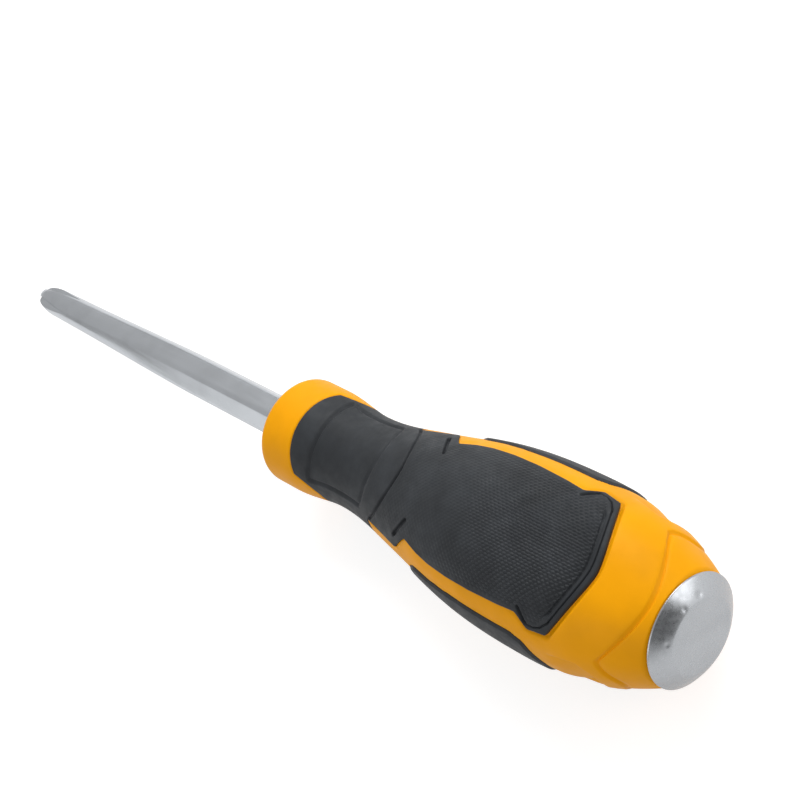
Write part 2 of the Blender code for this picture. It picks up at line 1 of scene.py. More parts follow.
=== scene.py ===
"""Looks of the double-ended screwdriver: skins, finishes, floor, light and camera.

Shapes are worked out in millimetres. A station is a distance from the strike face
along the handle, so a point at station s has X = -s. A turn is an angle in degrees
round the axis, from +Z toward +Y.
"""
import math

import bpy
import numpy as np
from mathutils import Matrix, Vector

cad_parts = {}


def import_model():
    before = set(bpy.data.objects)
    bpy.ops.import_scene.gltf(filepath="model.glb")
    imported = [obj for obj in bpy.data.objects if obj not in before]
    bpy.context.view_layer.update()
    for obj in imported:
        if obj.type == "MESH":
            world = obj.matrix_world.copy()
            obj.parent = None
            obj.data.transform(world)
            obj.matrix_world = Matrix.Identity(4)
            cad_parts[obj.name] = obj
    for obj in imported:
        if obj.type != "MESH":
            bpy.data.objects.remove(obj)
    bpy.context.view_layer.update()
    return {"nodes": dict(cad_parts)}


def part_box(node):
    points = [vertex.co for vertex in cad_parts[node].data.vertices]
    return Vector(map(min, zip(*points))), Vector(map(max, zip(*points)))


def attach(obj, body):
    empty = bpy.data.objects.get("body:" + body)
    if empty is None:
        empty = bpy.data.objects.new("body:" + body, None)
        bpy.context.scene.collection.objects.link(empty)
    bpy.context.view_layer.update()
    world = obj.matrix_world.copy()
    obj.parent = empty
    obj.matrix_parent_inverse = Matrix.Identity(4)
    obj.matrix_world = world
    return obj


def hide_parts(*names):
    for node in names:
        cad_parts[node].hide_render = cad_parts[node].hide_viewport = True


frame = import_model()

MM = 0.001
FAR = 1e9
TINY = 1e-12


def span(name):
    """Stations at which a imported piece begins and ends."""
    low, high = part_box(name)
    return -high.x / MM, -low.x / MM


# Stations of the handle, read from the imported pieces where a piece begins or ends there
SEAT, NOSE_END = span("handle_core")
PALM_REAR, TONGUE_FRONT = span("grip_overmould")
BLADE_INNER, BLADE_END = span("blade")
STEM_END = span("strike_cap")[1]
SLEEVE_REAR, SLEEVE_FRONT = span("socket_sleeve")
ROD_REAR = span("impact_rod")[0]
GAP = 0.3
BUTT_LENGTH = 27.7
BARREL_LENGTH = 53.9
NECK_LENGTH = 13.2
BULGE = SEAT + BUTT_LENGTH
WAIST = BULGE + BARREL_LENGTH
COLLAR = WAIST + NECK_LENGTH

# Girth of the handle
BUTT_R = 10.6
BULGE_R = 17.17
WAIST_R = 9.67
COLLAR_R = 10.92
NOSE_ROUND = 1.8
BARREL_SKEW = 1.3
BUTT_CURVE = 2.3
SQUARENESS = 0.12
PANEL_FLAT = 13.5
FLAT_FADE = 0.5
FLAT_SPREAD = 20.0
SKIN_INSET = 0.05

# Depths of the soft pieces and of the hard handle beside and below them
SOFT_DEPTH = 1.35
STRIP_DROP = 0.40
UNDER_SOFT = 0.95
SOFT_EDGE = 0.36

# Sizes inside the handle that several pieces share
FLATS = 8.0
HEX_TURN = 17.5
BLADE_COLUMNS = 96
SLEEVE_WALL = 1.3
BORE_FLATS = FLATS + 2 * GAP
SLEEVE_FLATS = BORE_FLATS + 2 * SLEEVE_WALL
SEAT_FLATS = SLEEVE_FLATS + 2 * GAP
HEAD_LENGTH = 11.8
HEAD_REAR = SLEEVE_FRONT - HEAD_LENGTH
ROD_BORE = 4.3
SHARP_ANGLE = math.radians(28)


def ease(value):
    return (1 - np.cos(np.pi * np.clip(value, 0, 1))) / 2


def outline_radius(s):
    """Radius of the handle at a station, as seen from the side."""
    into_butt = np.maximum(BULGE - s, 0) / (BULGE - SEAT)
    butt = BULGE_R - (BULGE_R - BUTT_R) * into_butt ** BUTT_CURVE
    share = np.clip((s - BULGE) / (WAIST - BULGE), 0, 1)
    barrel = BULGE_R - (BULGE_R - WAIST_R) * ease(share ** BARREL_SKEW)
    neck = WAIST_R + (COLLAR_R - WAIST_R) * ease((s - WAIST) / (COLLAR - WAIST))
    return np.where(s < BULGE, butt, np.where(s < WAIST, barrel, neck))


def from_panel(turn):
    """Degrees from the nearer palm panel's middle, 0 to 90."""
    off = np.abs(turn) % 180
    return np.minimum(off, 180 - off)


def section(s, turn):
    """Radius of the grip's surface: slightly squared, eased flat on the palms."""
    radius = outline_radius(s)
    girth = np.clip((radius - WAIST_R) / (BULGE_R - WAIST_R), 0, 1)
    power = 2 + SQUARENESS * girth

    def squared(angle):
        total = np.abs(np.cos(angle)) ** power + np.abs(np.sin(angle)) ** power
        return radius * total ** (-1 / power)

    edge = np.radians(PANEL_FLAT) * np.minimum(girth / FLAT_FADE, 1)
    sag = radius - squared(edge) * np.cos(edge)
    return (squared(np.radians(turn)) - sag * np.exp(-(from_panel(turn) / FLAT_SPREAD) ** 2)
            - SKIN_INSET)


def place(s, turn, radius):
    """Points in millimetres from stations, turns and radii."""
    angle = np.radians(turn)
    s, angle, radius = np.broadcast_arrays(s, angle, radius)
    return np.stack((-s, radius * np.sin(angle), radius * np.cos(angle)), axis=-1)


def full_turn(count):
    """Even turns once round the axis."""
    return np.arange(count) * 360 / count


def graded(first, last, fine, step, growth=1.4):
    """Places from first to last whose spacing grows from fine, at both ends, to step."""
    ramp = []
    size = fine
    while size < step and 2 * (sum(ramp) + size) < last - first:
        ramp.append(size)
        size *= growth
    ends = np.concatenate(([0.0], np.cumsum(ramp)))
    middle = last - first - 2 * ends[-1]
    count = max(int(round(middle / step)), 1)
    inner = ends[-1] + middle * np.arange(1, count) / count
    return first + np.concatenate((ends, inner, (last - first) - ends[::-1]))


def near(points, line):
    """Distance of every point to a broken line through 3-D points."""
    shape = points.shape[:-1]
    flat = points.reshape(-1, 3)
    least = np.full(len(flat), FAR)
    for a, b in zip(line[:-1], line[1:]):
        run = b - a
        share = np.clip((flat - a) @ run / max(run @ run, TINY), 0, 1)
        least = np.minimum(least, np.linalg.norm(flat - a - share[:, None] * run, axis=1))
    return least.reshape(shape)


def nearest(points, lines):
    """Distance of every point to the nearest of several lines."""
    return np.minimum.reduce([near(points, line) for line in lines])


def fillet(distance, radius):
    """Drop of an edge rounded with a radius, at a distance inside the edge."""
    inside = np.clip(radius - distance, 0, radius)
    return radius - np.sqrt(radius ** 2 - inside ** 2)


def furrow(distance, half_width, depth):
    """Drop of a groove with soft lips."""
    return depth * np.exp(-(distance / half_width) ** 4)


def fade(value, start, end):
    """0 before start, 1 after end, smooth between; start may be above end."""
    return ease((value - start) / (end - start))


def new_object(name, data):
    """Object in the scene's collection."""
    obj = bpy.data.objects.new(name, data)
    bpy.context.scene.collection.objects.link(obj)
    return obj


def add_mesh(name, points, faces, mat, body, slot, *nodes):
    """New piece from points in millimetres, which stands for the named CAD nodes."""
    mesh = bpy.data.meshes.new(name)
    mesh.from_pydata(np.asarray(points) * MM, [], faces)
    mesh.validate()
    mesh.polygons.foreach_set("use_smooth", [True] * len(mesh.polygons))
    mesh.materials.append(mat)
    obj = new_object(name, mesh)
    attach(obj, body)
    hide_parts(*nodes)
    return obj


def spread_marks(first, last, count):
    """Whole numbers spread evenly from first to last, both included."""
    return np.unique(np.linspace(first, last, count).astype(int)).tolist()


def shell_mesh(top, under, row_marks, column_marks, alive=None, wrap=False):
    """Closed skin: outer quads where alive (everywhere if that isn't given), walls at every
    border, and a floor below with one face for each cell between the marks.
    """
    rows, columns = top.shape[:2]
    if alive is None:
        alive = np.ones((rows - 1, columns - 1), bool)
    r, c = np.nonzero(alive)
    after = (c + 1) % columns
    quads = ((r, c), (r, after), (r + 1, after), (r + 1, c))
    index = np.full((rows, columns), -1)
    for corner in quads:
        index[corner] = 0
    used = np.nonzero(index == 0)
    index[used] = np.arange(len(used[0]))
    points = list(top[used])
    faces = np.stack([index[corner] for corner in quads], 1).tolist()
    below = {}

    def low(row, column):
        key = (row, column % columns)
        if key not in below:
            below[key] = len(points)
            points.append(under[key])
        return below[key]

    def lives(row, column):
        if wrap:
            column %= columns
        return 0 <= row < alive.shape[0] and 0 <= column < alive.shape[1] and alive[row, column]

    for row, column in zip(r.tolist(), c.tolist()):
        corners = ((row, column), (row, column + 1), (row + 1, column + 1), (row + 1, column))
        beyond = ((row - 1, column), (row, column + 1), (row + 1, column), (row, column - 1))
        for k in range(4):
            if not lives(*beyond[k]):
                a, b = corners[k], corners[(k + 1) % 4]
                top_a = index[a[0], a[1] % columns]
                top_b = index[b[0], b[1] % columns]
                faces.append([int(top_b), int(top_a), low(*a), low(*b)])
    for r0, r1 in zip(row_marks[:-1], row_marks[1:]):
        for c0, c1 in zip(column_marks[:-1], column_marks[1:]):
            if not lives(r0, c0):
                continue
            ring = []
            sides = (((r0, r1, 1), None, c0, lives(r0, c0 - 1)),
                     (None, (c0, c1, 1), r1, lives(r1, c0)),
                     ((r1, r0, -1), None, c1, lives(r0, c1)),
                     (None, (c1, c0, -1), r0, lives(r0 - 1, c0)))
            for row_run, column_run, fixed, joined in sides:
                run = list(range(*(row_run or column_run)))
                run = run[:1] if joined else run
                ring += [low(k, fixed) if row_run else low(fixed, k) for k in run]
            faces.append(ring)
    return points, faces


def ring_faces(index, after):
    """Four-sided faces between rings of point numbers and the rings after them."""
    quads = np.stack((index, np.roll(index, -1, 1), np.roll(after, -1, 1), after), axis=-1)
    return quads.reshape(-1, 4).tolist()


def loop_mesh(rings):
    """Closed skin through rings, the last of which joins the first again."""
    index = np.arange(rings[..., 0].size).reshape(rings.shape[:2])
    return rings.reshape(-1, 3), ring_faces(index, np.roll(index, -1, axis=0))


def turned_mesh(rings):
    """Closed skin through rings, with a point on the axis at both ends."""
    count, columns = rings.shape[:2]
    index = np.arange(count * columns).reshape(count, columns)
    faces = ring_faces(index[:-1], index[1:])
    first, last = count * columns, count * columns + 1
    for k in range(columns):
        after = (k + 1) % columns
        faces += [[first, after, k], [last, int(index[-1, k]), int(index[-1, after])]]
    points = np.concatenate((rings.reshape(-1, 3), [rings[0].mean(0), rings[-1].mean(0)]))
    return points, faces


# Materials

def new_material(name):
    """A material with its node tree and its shader."""
    mat = bpy.data.materials.new(name)
    mat.use_nodes = True
    return mat, mat.node_tree, mat.node_tree.nodes["Principled BSDF"]


def node(tree, kind, values=(), **settings):
    """New node with values for its inputs and settings for itself."""
    made = tree.nodes.new(kind)
    for key, value in settings.items():
        setattr(made, key, value)
    for key, value in dict(values).items():
        made.inputs[key].default_value = value
    return made


def noise(tree, scale, detail=3.0, stretch=(1, 1, 1), rough=0.55):
    """Noise over the piece's own coordinates, whose scale is per metre."""
    coord = node(tree, "ShaderNodeTexCoord")
    mapping = node(tree, "ShaderNodeMapping", {"Scale": stretch})
    made = node(tree, "ShaderNodeTexNoise", {"Scale": scale, "Detail": detail, "Roughness": rough})
    tree.links.new(coord.outputs["Object"], mapping.inputs["Vector"])
    tree.links.new(mapping.outputs["Vector"], made.inputs["Vector"])
    return made.outputs["Fac"]


def ramp(tree, factor, stops):
    """Colours or greys along a factor: pairs of place and colour."""
    made = node(tree, "ShaderNodeValToRGB")
    points = made.color_ramp.elements
    while len(points) < len(stops):
        points.new(0.5)
    for point, (where, colour) in zip(points, stops):
        point.position = where
        point.color = (*colour, 1.0) if isinstance(colour, tuple) else (colour,) * 3 + (1.0,)
    tree.links.new(factor, made.inputs["Fac"])
    return made.outputs["Color"]


def bump(tree, shader, layers):
    """Bump from several heights: triples of output, strength and distance in metres."""
    last = None
    for height, strength, distance in layers:
        made = node(tree, "ShaderNodeBump", {"Strength": strength, "Distance": distance})
        tree.links.new(height, made.inputs["Height"])
        if last is not None:
            tree.links.new(last, made.inputs["Normal"])
        last = made.outputs["Normal"]
    tree.links.new(last, shader.inputs["Normal"])


def tint(tree, shader, pattern, colour, darker, paler, places=(0.3, 0.5, 0.7)):
    """Base colour along a pattern: a little darker in its lows and paler in its highs."""
    shades = [tuple(min(part * level, 1.0) for part in colour) for level in (darker, 1, paler)]
    tree.links.new(ramp(tree, pattern, list(zip(places, shades))), shader.inputs["Base Color"])


def roughen(tree, shader, pattern, low, high):
    """Roughness between two values along a pattern."""
    rough = ramp(tree, pattern, [(0.3, low), (0.7, high)])
    tree.links.new(rough, shader.inputs["Roughness"])


def plastic_material():
    """Satin yellow-orange plastic with faint clouds."""
    mat, tree, shader = new_material("hard_plastic_yellow")
    tint(tree, shader, noise(tree, 90, 4), YELLOW, 0.93, 1.05)
    roughen(tree, shader, noise(tree, 320, 5), 0.38, 0.50)
    shader.inputs["Specular IOR Level"].default_value = 0.35
    shader.inputs["IOR"].default_value = 1.22
    bump(tree, shader, [(noise(tree, 1400, 2), 0.10, 0.00005),
                        (noise(tree, 140, 2), 0.12, 0.0003)])
    return mat


def rubber_material():
    """Matt black soft grip with a fine grain."""
    mat, tree, shader = new_material("soft_grip_black")
    tint(tree, shader, noise(tree, 150, 6), BLACK, 0.8, 1.35, (0.32, 0.5, 0.72))
    roughen(tree, shader, noise(tree, 500, 4), 0.50, 0.68)
    shader.inputs["Specular IOR Level"].default_value = 0.27
    shader.inputs["Sheen Weight"].default_value = 0.02
    shader.inputs["Sheen Roughness"].default_value = 0.5
    bump(tree, shader, [(noise(tree, 2600, 3), 0.35, 0.00004),
                        (noise(tree, 420, 2), 0.15, 0.0001)])
    return mat


def steel_material(name, colour, roughness, brushing, strength):
    """Metal with fine marks, which brushing stretches along the axis or leaves even."""
    mat, tree, shader = new_material(name)
    tint(tree, shader, noise(tree, 160, 5), colour, 0.94, 1.04, (0.3, 0.5, 0.72))
    shader.inputs["Metallic"].default_value = 1.0
    marks = noise(tree, 900, 4, brushing)
    roughen(tree, shader, marks, roughness * 0.8, roughness * 1.25)
    bump(tree, shader, [(marks, strength, 0.00004), (noise(tree, 260, 3), strength, 0.00012)])
    return mat


YELLOW = (0.88, 0.365, 0.001)
BLACK = (0.024, 0.027, 0.031)
CHROME = (0.57, 0.595, 0.625)
PLATED = (0.46, 0.475, 0.495)
BARE = (0.42, 0.42, 0.43)
OILED = (0.30, 0.31, 0.33)
LENGTHWISE = (0.06, 1, 1)
EVEN = (1, 1, 1)

plastic = plastic_material()
rubber = rubber_material()
chrome = steel_material("chrome_satin", CHROME, 0.21, LENGTHWISE, 0.05)
cap_steel = steel_material("plated_steel", PLATED, 0.27, EVEN, 0.07)
sleeve_steel = steel_material("drawn_steel", BARE, 0.42, LENGTHWISE, 0.2)
spring_steel = steel_material("spring_steel", OILED, 0.34, LENGTHWISE, 0.15)
rod_steel = steel_material("ground_rod", BARE, 0.40, EVEN, 0.2)


# Soft grip: outline of the palms, from the rear corner to the waist band

REAR_BOW = 5.7
REAR_BOW_POWER = 1.7
REAR_BOW_END = 8.6
GROOVE_BOW_POWER = 1.8
BAND_LEAD = 41.4
GROOVE_LEAD = 34.0
GROOVE_BOW_START = 18.6
PALM_SIDE_LEADS = ((-10.8, 50.6), (-7.0, 51.3), (-4.4, 43.4), (0.0, 44.6), (7.0, 46.0),
                   (13.0, 46.8), (18.6, 47.0), (22.5, 45.8), (26.6, 42.5), (30.8, 60.5),
                   (BAND_LEAD, 62.0))
TONGUE_SIDE_TURN = 80.0
TONGUE_CORNER_TURN = 57.0
CORNER_SOFTNESS = 0.35
CORNER_SAMPLES = 9
PALM_GUESS = 50.0
SOLVER_STEPS = 25
WIDEST_RATIO = 0.9999


def ahead(places, start=BULGE):
    """Places given as a distance in front of the bulge and a turn, as station and turn."""
    return tuple((start + lead, turn) for lead, turn in places)


PALM_SIDE = ahead(PALM_SIDE_LEADS)
REAR_CORNER = PALM_SIDE[0][0]
BAND = BULGE + BAND_LEAD
GROOVE_MIDDLE = BULGE + GROOVE_LEAD
TONGUE_CORNER = TONGUE_FRONT - 1.2
TONGUE_SIDE = TONGUE_CORNER - 5.0


def soft_corners(stations, widths, s):
    """Widths along a broken line, with its corners rounded a little."""
    total = np.zeros_like(s)
    offsets = np.linspace(-1, 1, CORNER_SAMPLES) * CORNER_SOFTNESS
    for offset in offsets:
        inside = np.clip(s + offset, stations[0], stations[-1])
        total += np.interp(inside, stations, widths)
    eased = total / len(offsets)
    exact = np.interp(s, stations, widths)
    end = np.minimum(s - stations[0], stations[-1] - s) / CORNER_SOFTNESS
    return exact + (eased - exact) * np.clip(end, 0, 1)


def turn_of_width(s, width, guess=PALM_GUESS, from_side=False):
    """Angle from the middle of a palm, or of a side, at which the grip's surface is that far
    from the middle plane.
    """
    angle = np.full_like(s, guess)
    for _ in range(SOLVER_STEPS):
        radius = section(s, 90 - angle if from_side else angle)
        ratio = np.clip(width / radius, 0, WIDEST_RATIO)
        angle = (angle + np.degrees(np.arcsin(ratio))) / 2
    return angle


def half_widths(places, from_side=False):
    """Stations of an outline, and how far from its middle plane it is there."""
    stations, angles = np.array(places).T
    radius = section(stations, 90 - angles if from_side else angles)
    return stations, radius * np.sin(np.radians(angles))


def palm_edge(s):
    """Half angle of the palm panel at a station."""
    return turn_of_width(s, soft_corners(*half_widths(PALM_SIDE), s))


def palm_station(v, q):
    """Station of row v of a palm at a share q of its half angle, between its bowed ends."""
    bow_end = BULGE + REAR_BOW_END
    bow_start = BULGE + GROOVE_BOW_START
    rear = REAR_BOW * (1 - ease((v - REAR_CORNER) / (bow_end - REAR_CORNER)))
    front = (BAND - GROOVE_MIDDLE) * ease((v - bow_start) / (BAND - bow_start))
    return (v - rear * (1 - np.abs(q) ** REAR_BOW_POWER)
            - front * (1 - np.abs(q) ** GROOVE_BOW_POWER))


def surface_line(places, middle=0.0, steps=6):
    """3-D points on the grip's surface along a broken line of station and turn."""
    places = np.array(places, float)
    share = np.linspace(0, len(places) - 1, (len(places) - 1) * steps + 1)
    s = np.interp(share, range(len(places)), places[:, 0])
    turn = np.interp(share, range(len(places)), places[:, 1]) + middle
    return place(s, turn, section(s, turn))


# Marks on the palm: the rear rim with its two lines, the slots and the knurled field

RIM_LINE = 1.05
RIM_LINE_TURN = 41.0
RIM_LINE_POINTS = 29
RIM_LINE_HALF = 0.15
RIM_LINE_DEPTH = 0.45
RIM_SLOPE_END = 2.0
RIM_SLOPE_DROP = 0.40
RIM_SLOPE_TURNS = (40.0, 34.0)
FIELD_LINE = 2.25
FIELD_LINE_TURN = 38.0
FIELD_LINE_POINTS = 25
FIELD_LINE_HALF = 0.24
FIELD_LINE_DEPTH = 0.42
RIM_SLOPE_FRONT = (FIELD_LINE + 2.5, FIELD_LINE + 0.2)
REAR_EAR = ahead(((-9.9, 46.0), (-8.6, 47.6), (-7.0, 47.4), (-6.0, 46.4)))
REAR_SLOT = ahead(((-5.0, 39.0), (-6.8, 47.0)))
REAR_SLOT_HALF = 0.34
FRONT_SLOT = ahead(((30.5, 47.0), (26.8, 28.8)))
FRONT_SLOT_HALF = 0.38
SLOT_DEPTH = 0.75
LINE_FROM_EDGE = (0.15, 0.7)
GROOVE_DEPTH = 0.50
GROOVE_HALF = 0.30
GROOVE_FROM_EDGE = (0.2, 1.0)
KNURL_PITCH = 1.05
KNURL_LENGTH = 0.45
KNURL_WIDTH = 0.26
KNURL_HEIGHT = 0.27
KNURL_ROUND = 0.7
KNURL_FROM_EDGE = (0.7, 1.3)
KNURL_FROM_GROOVE = 0.6
KNURL_BY_LINE = 0.3
KNURL_REAR = (FIELD_LINE, FIELD_LINE + 0.3)
KNURL_LEADS = (22.0, -4.0)
KNURL_FRONT_LEVEL = 0.12
KNURL_TURNS = (48.0, 36.0)
KNURL_SIDE_LEVEL = 0.35
PALM_FINE_STEP = 0.04
PALM_RIM_STEP = 0.075
PALM_FIELD_STEP = 0.185
PALM_RIM_ROWS = FIELD_LINE + 0.5
PALM_COLUMN_STEPS = (0.0025, 0.0080)
PALM_FLOOR_MARKS = 18


def knurl(points):
    """Height of small oval domes, set in rows along the axis like bricks."""
    level = np.zeros(points.shape[:-1])
    for shift in (0.0, KNURL_PITCH / 2):
        along, across = [(points[..., k] + shift + KNURL_PITCH / 2) % KNURL_PITCH
                         - KNURL_PITCH / 2 for k in (0, 1)]
        dome = 1 - (along / KNURL_LENGTH) ** 2 - (across / KNURL_WIDTH) ** 2
        level = np.maximum(level, dome)
    return KNURL_HEIGHT * level ** KNURL_ROUND


def rear_edge(turn):
    """Station of the palm's rear edge at a turn from its middle."""
    return PALM_REAR + REAR_BOW * np.abs(turn / PALM_SIDE[0][1]) ** REAR_BOW_POWER


def along_rear(distance, widest, count):
    """Places that far in front of the palm's rear edge, from one side to the other."""
    return [(rear_edge(t) + distance, t) for t in np.linspace(-widest, widest, count)]


def palm_lines(middle):
    """Rim line with its ends in the ears, and the slots: each with half width and depth."""
    rim = along_rear(RIM_LINE, RIM_LINE_TURN, RIM_LINE_POINTS)
    lines = [(surface_line(rim, middle, 2), RIM_LINE_HALF, RIM_LINE_DEPTH)]
    for side in (-1, 1):
        for places, half_width, depth in (((rim[-1], *REAR_EAR), RIM_LINE_HALF, RIM_LINE_DEPTH),
                                          (REAR_SLOT, REAR_SLOT_HALF, SLOT_DEPTH),
                                          (FRONT_SLOT, FRONT_SLOT_HALF, SLOT_DEPTH)):
            mirrored = [(s, t * side) for s, t in places]
            lines.append((surface_line(mirrored, middle), half_width, depth))
    return lines


def at_least(least, level):
    """A level from 0 to 1 raised so that it starts from the least."""
    return least + (1 - least) * level


def edge_drop(border, seam):
    """Drop of the rounded edges and of the groove between a palm and the waist band."""
    groove = furrow(seam, GROOVE_HALF, GROOVE_DEPTH) * fade(border, *GROOVE_FROM_EDGE)
    return fillet(border, SOFT_EDGE) + groove


def add_panel(name, node_name, s, turn, radius, drop, marks):
    """Soft skin over a grid of stations and turns, lowered by the drop at each point."""
    top = place(s, turn, radius - drop)
    under = place(s, turn, radius - SOFT_DEPTH)
    points, faces = shell_mesh(top, under, *[spread_marks(0, n - 1, marks) for n in s.shape])
    add_mesh(name, points, faces, rubber, "handle", "soft_grip", node_name)


def palm_skin(name, middle):
    """One palm panel with its rim, slots and knurled field."""
    rim_end = REAR_CORNER + PALM_RIM_ROWS
    v = np.concatenate((graded(REAR_CORNER, rim_end, PALM_FINE_STEP, PALM_RIM_STEP),
                        graded(rim_end, BAND, PALM_RIM_STEP, PALM_FIELD_STEP)[1:]))
    q = graded(-1, 1, *PALM_COLUMN_STEPS)
    vv, qq = np.meshgrid(v, q, indexing="ij")
    turn = qq * palm_edge(v)[:, None]
    s = palm_station(vv, qq)
    radius = section(s, turn)
    base = place(s, turn + middle, radius)
    border = nearest(base, (base[0], base[:, 0], base[:, -1]))
    across = near(base, base[-1])
    drop = edge_drop(border, across)
    clear = np.minimum(border, across - KNURL_FROM_GROOVE)
    for line, half_width, depth in palm_lines(middle):
        away = near(base, line)
        drop += furrow(away, half_width, depth) * fade(border, *LINE_FROM_EDGE)
        clear = np.minimum(clear, away + KNURL_BY_LINE)
    field = along_rear(FIELD_LINE, FIELD_LINE_TURN, FIELD_LINE_POINTS)
    away = near(base, surface_line(field, middle, 2))
    past = s - rear_edge(turn)
    near_middle = fade(np.abs(turn), *RIM_SLOPE_TURNS)
    drop += furrow(away, FIELD_LINE_HALF, FIELD_LINE_DEPTH) * near_middle
    drop += (RIM_SLOPE_DROP * fade(past, RIM_LINE, RIM_SLOPE_END)
             * fade(past, *RIM_SLOPE_FRONT) * near_middle)
    mask = fade(clear, *KNURL_FROM_EDGE) * fade(past, *KNURL_REAR)
    mask *= at_least(KNURL_FRONT_LEVEL, fade(s - BULGE, *KNURL_LEADS))
    mask *= at_least(KNURL_SIDE_LEVEL, fade(np.abs(turn), *KNURL_TURNS))
    drop += (KNURL_HEIGHT - knurl(base)) * mask
    add_panel(name, "grip_overmould", s, turn + middle, radius, drop, PALM_FLOOR_MARKS)


# Waist band with the two thumb tongues

TONGUE_BOW = 1.2
TONGUE_BOW_POWER = 1.5
GROOVE_BOW_END = TONGUE_SIDE - 4.0
THUMB_REAR = BULGE + 42.0
THUMB_REAR_RISE = 1.9
THUMB_FRONT = TONGUE_FRONT - 5.6
THUMB_CORNER_RISE = 0.6
THUMB_REAR_TURN = 52.0
THUMB_FRONT_TURN = 58.0
THUMB_DEPTH = 0.20
THUMB_REAR_STEP = 0.2
THUMB_EDGE = (-0.3, 0.5)
THUMB_FURROW = 0.36
THUMB_FURROW_HALF = 0.34
THUMB_FURROW_INSET = 0.1
THUMB_LINE = 0.34
THUMB_LINE_HALF = 0.36
THUMB_LINE_ENDS = (0.3, 1.5)
STRIP_CELLS = 40
STRIP_SKIP = 4
BAND_ROW_STEPS = (0.05, 0.30)
BAND_COLUMN_STEPS = (0.004, 0.022)
BAND_ROW_MARKS = (8, 3)
BAND_COLUMN_MARKS = (9, 5)


def band_edge(v):
    """Half angle of a tongue's columns, from the palm's corner to the tongue's front."""
    widths = half_widths(((TONGUE_SIDE, TONGUE_SIDE_TURN), (TONGUE_CORNER, TONGUE_CORNER_TURN)))
    front = turn_of_width(v, np.interp(v, *widths))
    rear = np.interp(v, (BAND, TONGUE_SIDE), (PALM_SIDE[-1][1], TONGUE_SIDE_TURN))
    return np.where(v > TONGUE_SIDE, front, rear)


def band_station(v, q):
    """Station of row v of the band at a share q of a tongue's half angle."""
    rear = (BAND - GROOVE_MIDDLE) * (1 - ease((v - BAND) / (GROOVE_BOW_END - BAND)))
    share = np.clip((v - TONGUE_SIDE) / (TONGUE_CORNER - TONGUE_SIDE), 0, 1)
    front = TONGUE_BOW * share ** TONGUE_BOW_POWER
    return v - rear * (1 - np.abs(q) ** GROOVE_BOW_POWER) + front * (1 - q ** 2)


def thumb_drop(s, turn):
    """Depth of the thumb pad, with a furrow along its front and sides."""
    off = from_panel(turn)
    share = np.clip((s - THUMB_REAR) / (THUMB_FRONT - THUMB_REAR), 0, 1)
    side = THUMB_REAR_TURN + (THUMB_FRONT_TURN - THUMB_REAR_TURN) * share
    rear = THUMB_REAR + THUMB_REAR_RISE * (off / THUMB_REAR_TURN) ** 2
    front = THUMB_FRONT + THUMB_CORNER_RISE * (off / THUMB_FRONT_TURN) ** 2
    to_side = (side - off) * np.radians(1) * section(s, turn)
    to_edge = np.minimum(front - s, to_side)
    within = fade(s - rear, -THUMB_REAR_STEP, THUMB_REAR_STEP)
    pad = THUMB_DEPTH * within * fade(to_edge, *THUMB_EDGE)
    behind = furrow(s - rear, THUMB_LINE_HALF, THUMB_LINE) * fade(to_edge, *THUMB_LINE_ENDS)
    round_pad = furrow(to_edge - THUMB_FURROW_INSET, THUMB_FURROW_HALF, THUMB_FURROW)
    return pad + behind + round_pad * within


def band_skin():
    """Band once round the waist, whose rows go on in the two tongues but not between them."""
    rows = graded(BAND, TONGUE_SIDE, *BAND_ROW_STEPS)
    tips = graded(TONGUE_SIDE, TONGUE_CORNER, *BAND_ROW_STEPS)
    v = np.concatenate((rows, tips[1:]))
    q = graded(-1, 1, *BAND_COLUMN_STEPS)
    flap = len(q) - 1
    between = np.linspace(0, 1, STRIP_CELLS + 1)[None, :-1]
    edge = band_edge(v)[:, None]
    turns = []
    stations = []
    for middle in (0, 180):
        turns.append(middle + q[None, :-1] * edge)
        stations.append(band_station(v[:, None], q[None, :-1]))
        turns.append(middle + edge + (180 - 2 * edge) * between)
        stations.append(np.repeat(v[:, None], STRIP_CELLS, axis=1))
    turn = np.concatenate(turns, axis=1)
    s = np.concatenate(stations, axis=1)
    columns = turn.shape[1]
    alive = np.ones((len(v) - 1, columns), bool)
    split = len(rows) - 1
    for start in (flap, columns // 2 + flap):
        alive[split:, start:start + STRIP_CELLS] = False
    radius = section(s, turn)
    base = place(s, turn, radius)
    edges = []
    seams = []
    for start in (0, columns // 2):
        ring = np.arange(start, start + flap + 1) % columns
        strip = np.arange(start + flap, start + flap + STRIP_CELLS + 1) % columns
        edges += [base[-1, ring], base[split:, ring[0]], base[split:, ring[-1]]]
        edges += [base[row, strip[::STRIP_SKIP]] for row in (0, split)]
        seams.append(base[0, ring])
    drop = edge_drop(nearest(base, edges), nearest(base, seams)) + thumb_drop(s, turn)
    top = place(s, turn, radius - drop)
    under = place(s, turn, radius - SOFT_DEPTH)
    below, ahead_of = BAND_ROW_MARKS
    row_marks = spread_marks(0, split, below)[:-1] + spread_marks(split, len(v) - 1, ahead_of)
    in_tongue, in_strip = BAND_COLUMN_MARKS
    column_marks = []
    for start in (0, columns // 2):
        column_marks += spread_marks(start, start + flap, in_tongue)[:-1]
        column_marks += spread_marks(start + flap, start + flap + STRIP_CELLS, in_strip)[:-1]
    column_marks.append(columns)
    points, faces = shell_mesh(top, under, row_marks, column_marks, alive, wrap=True)
    add_mesh("waist_band", points, faces, rubber, "handle", "soft_grip", "grip_overmould")


# Side inserts

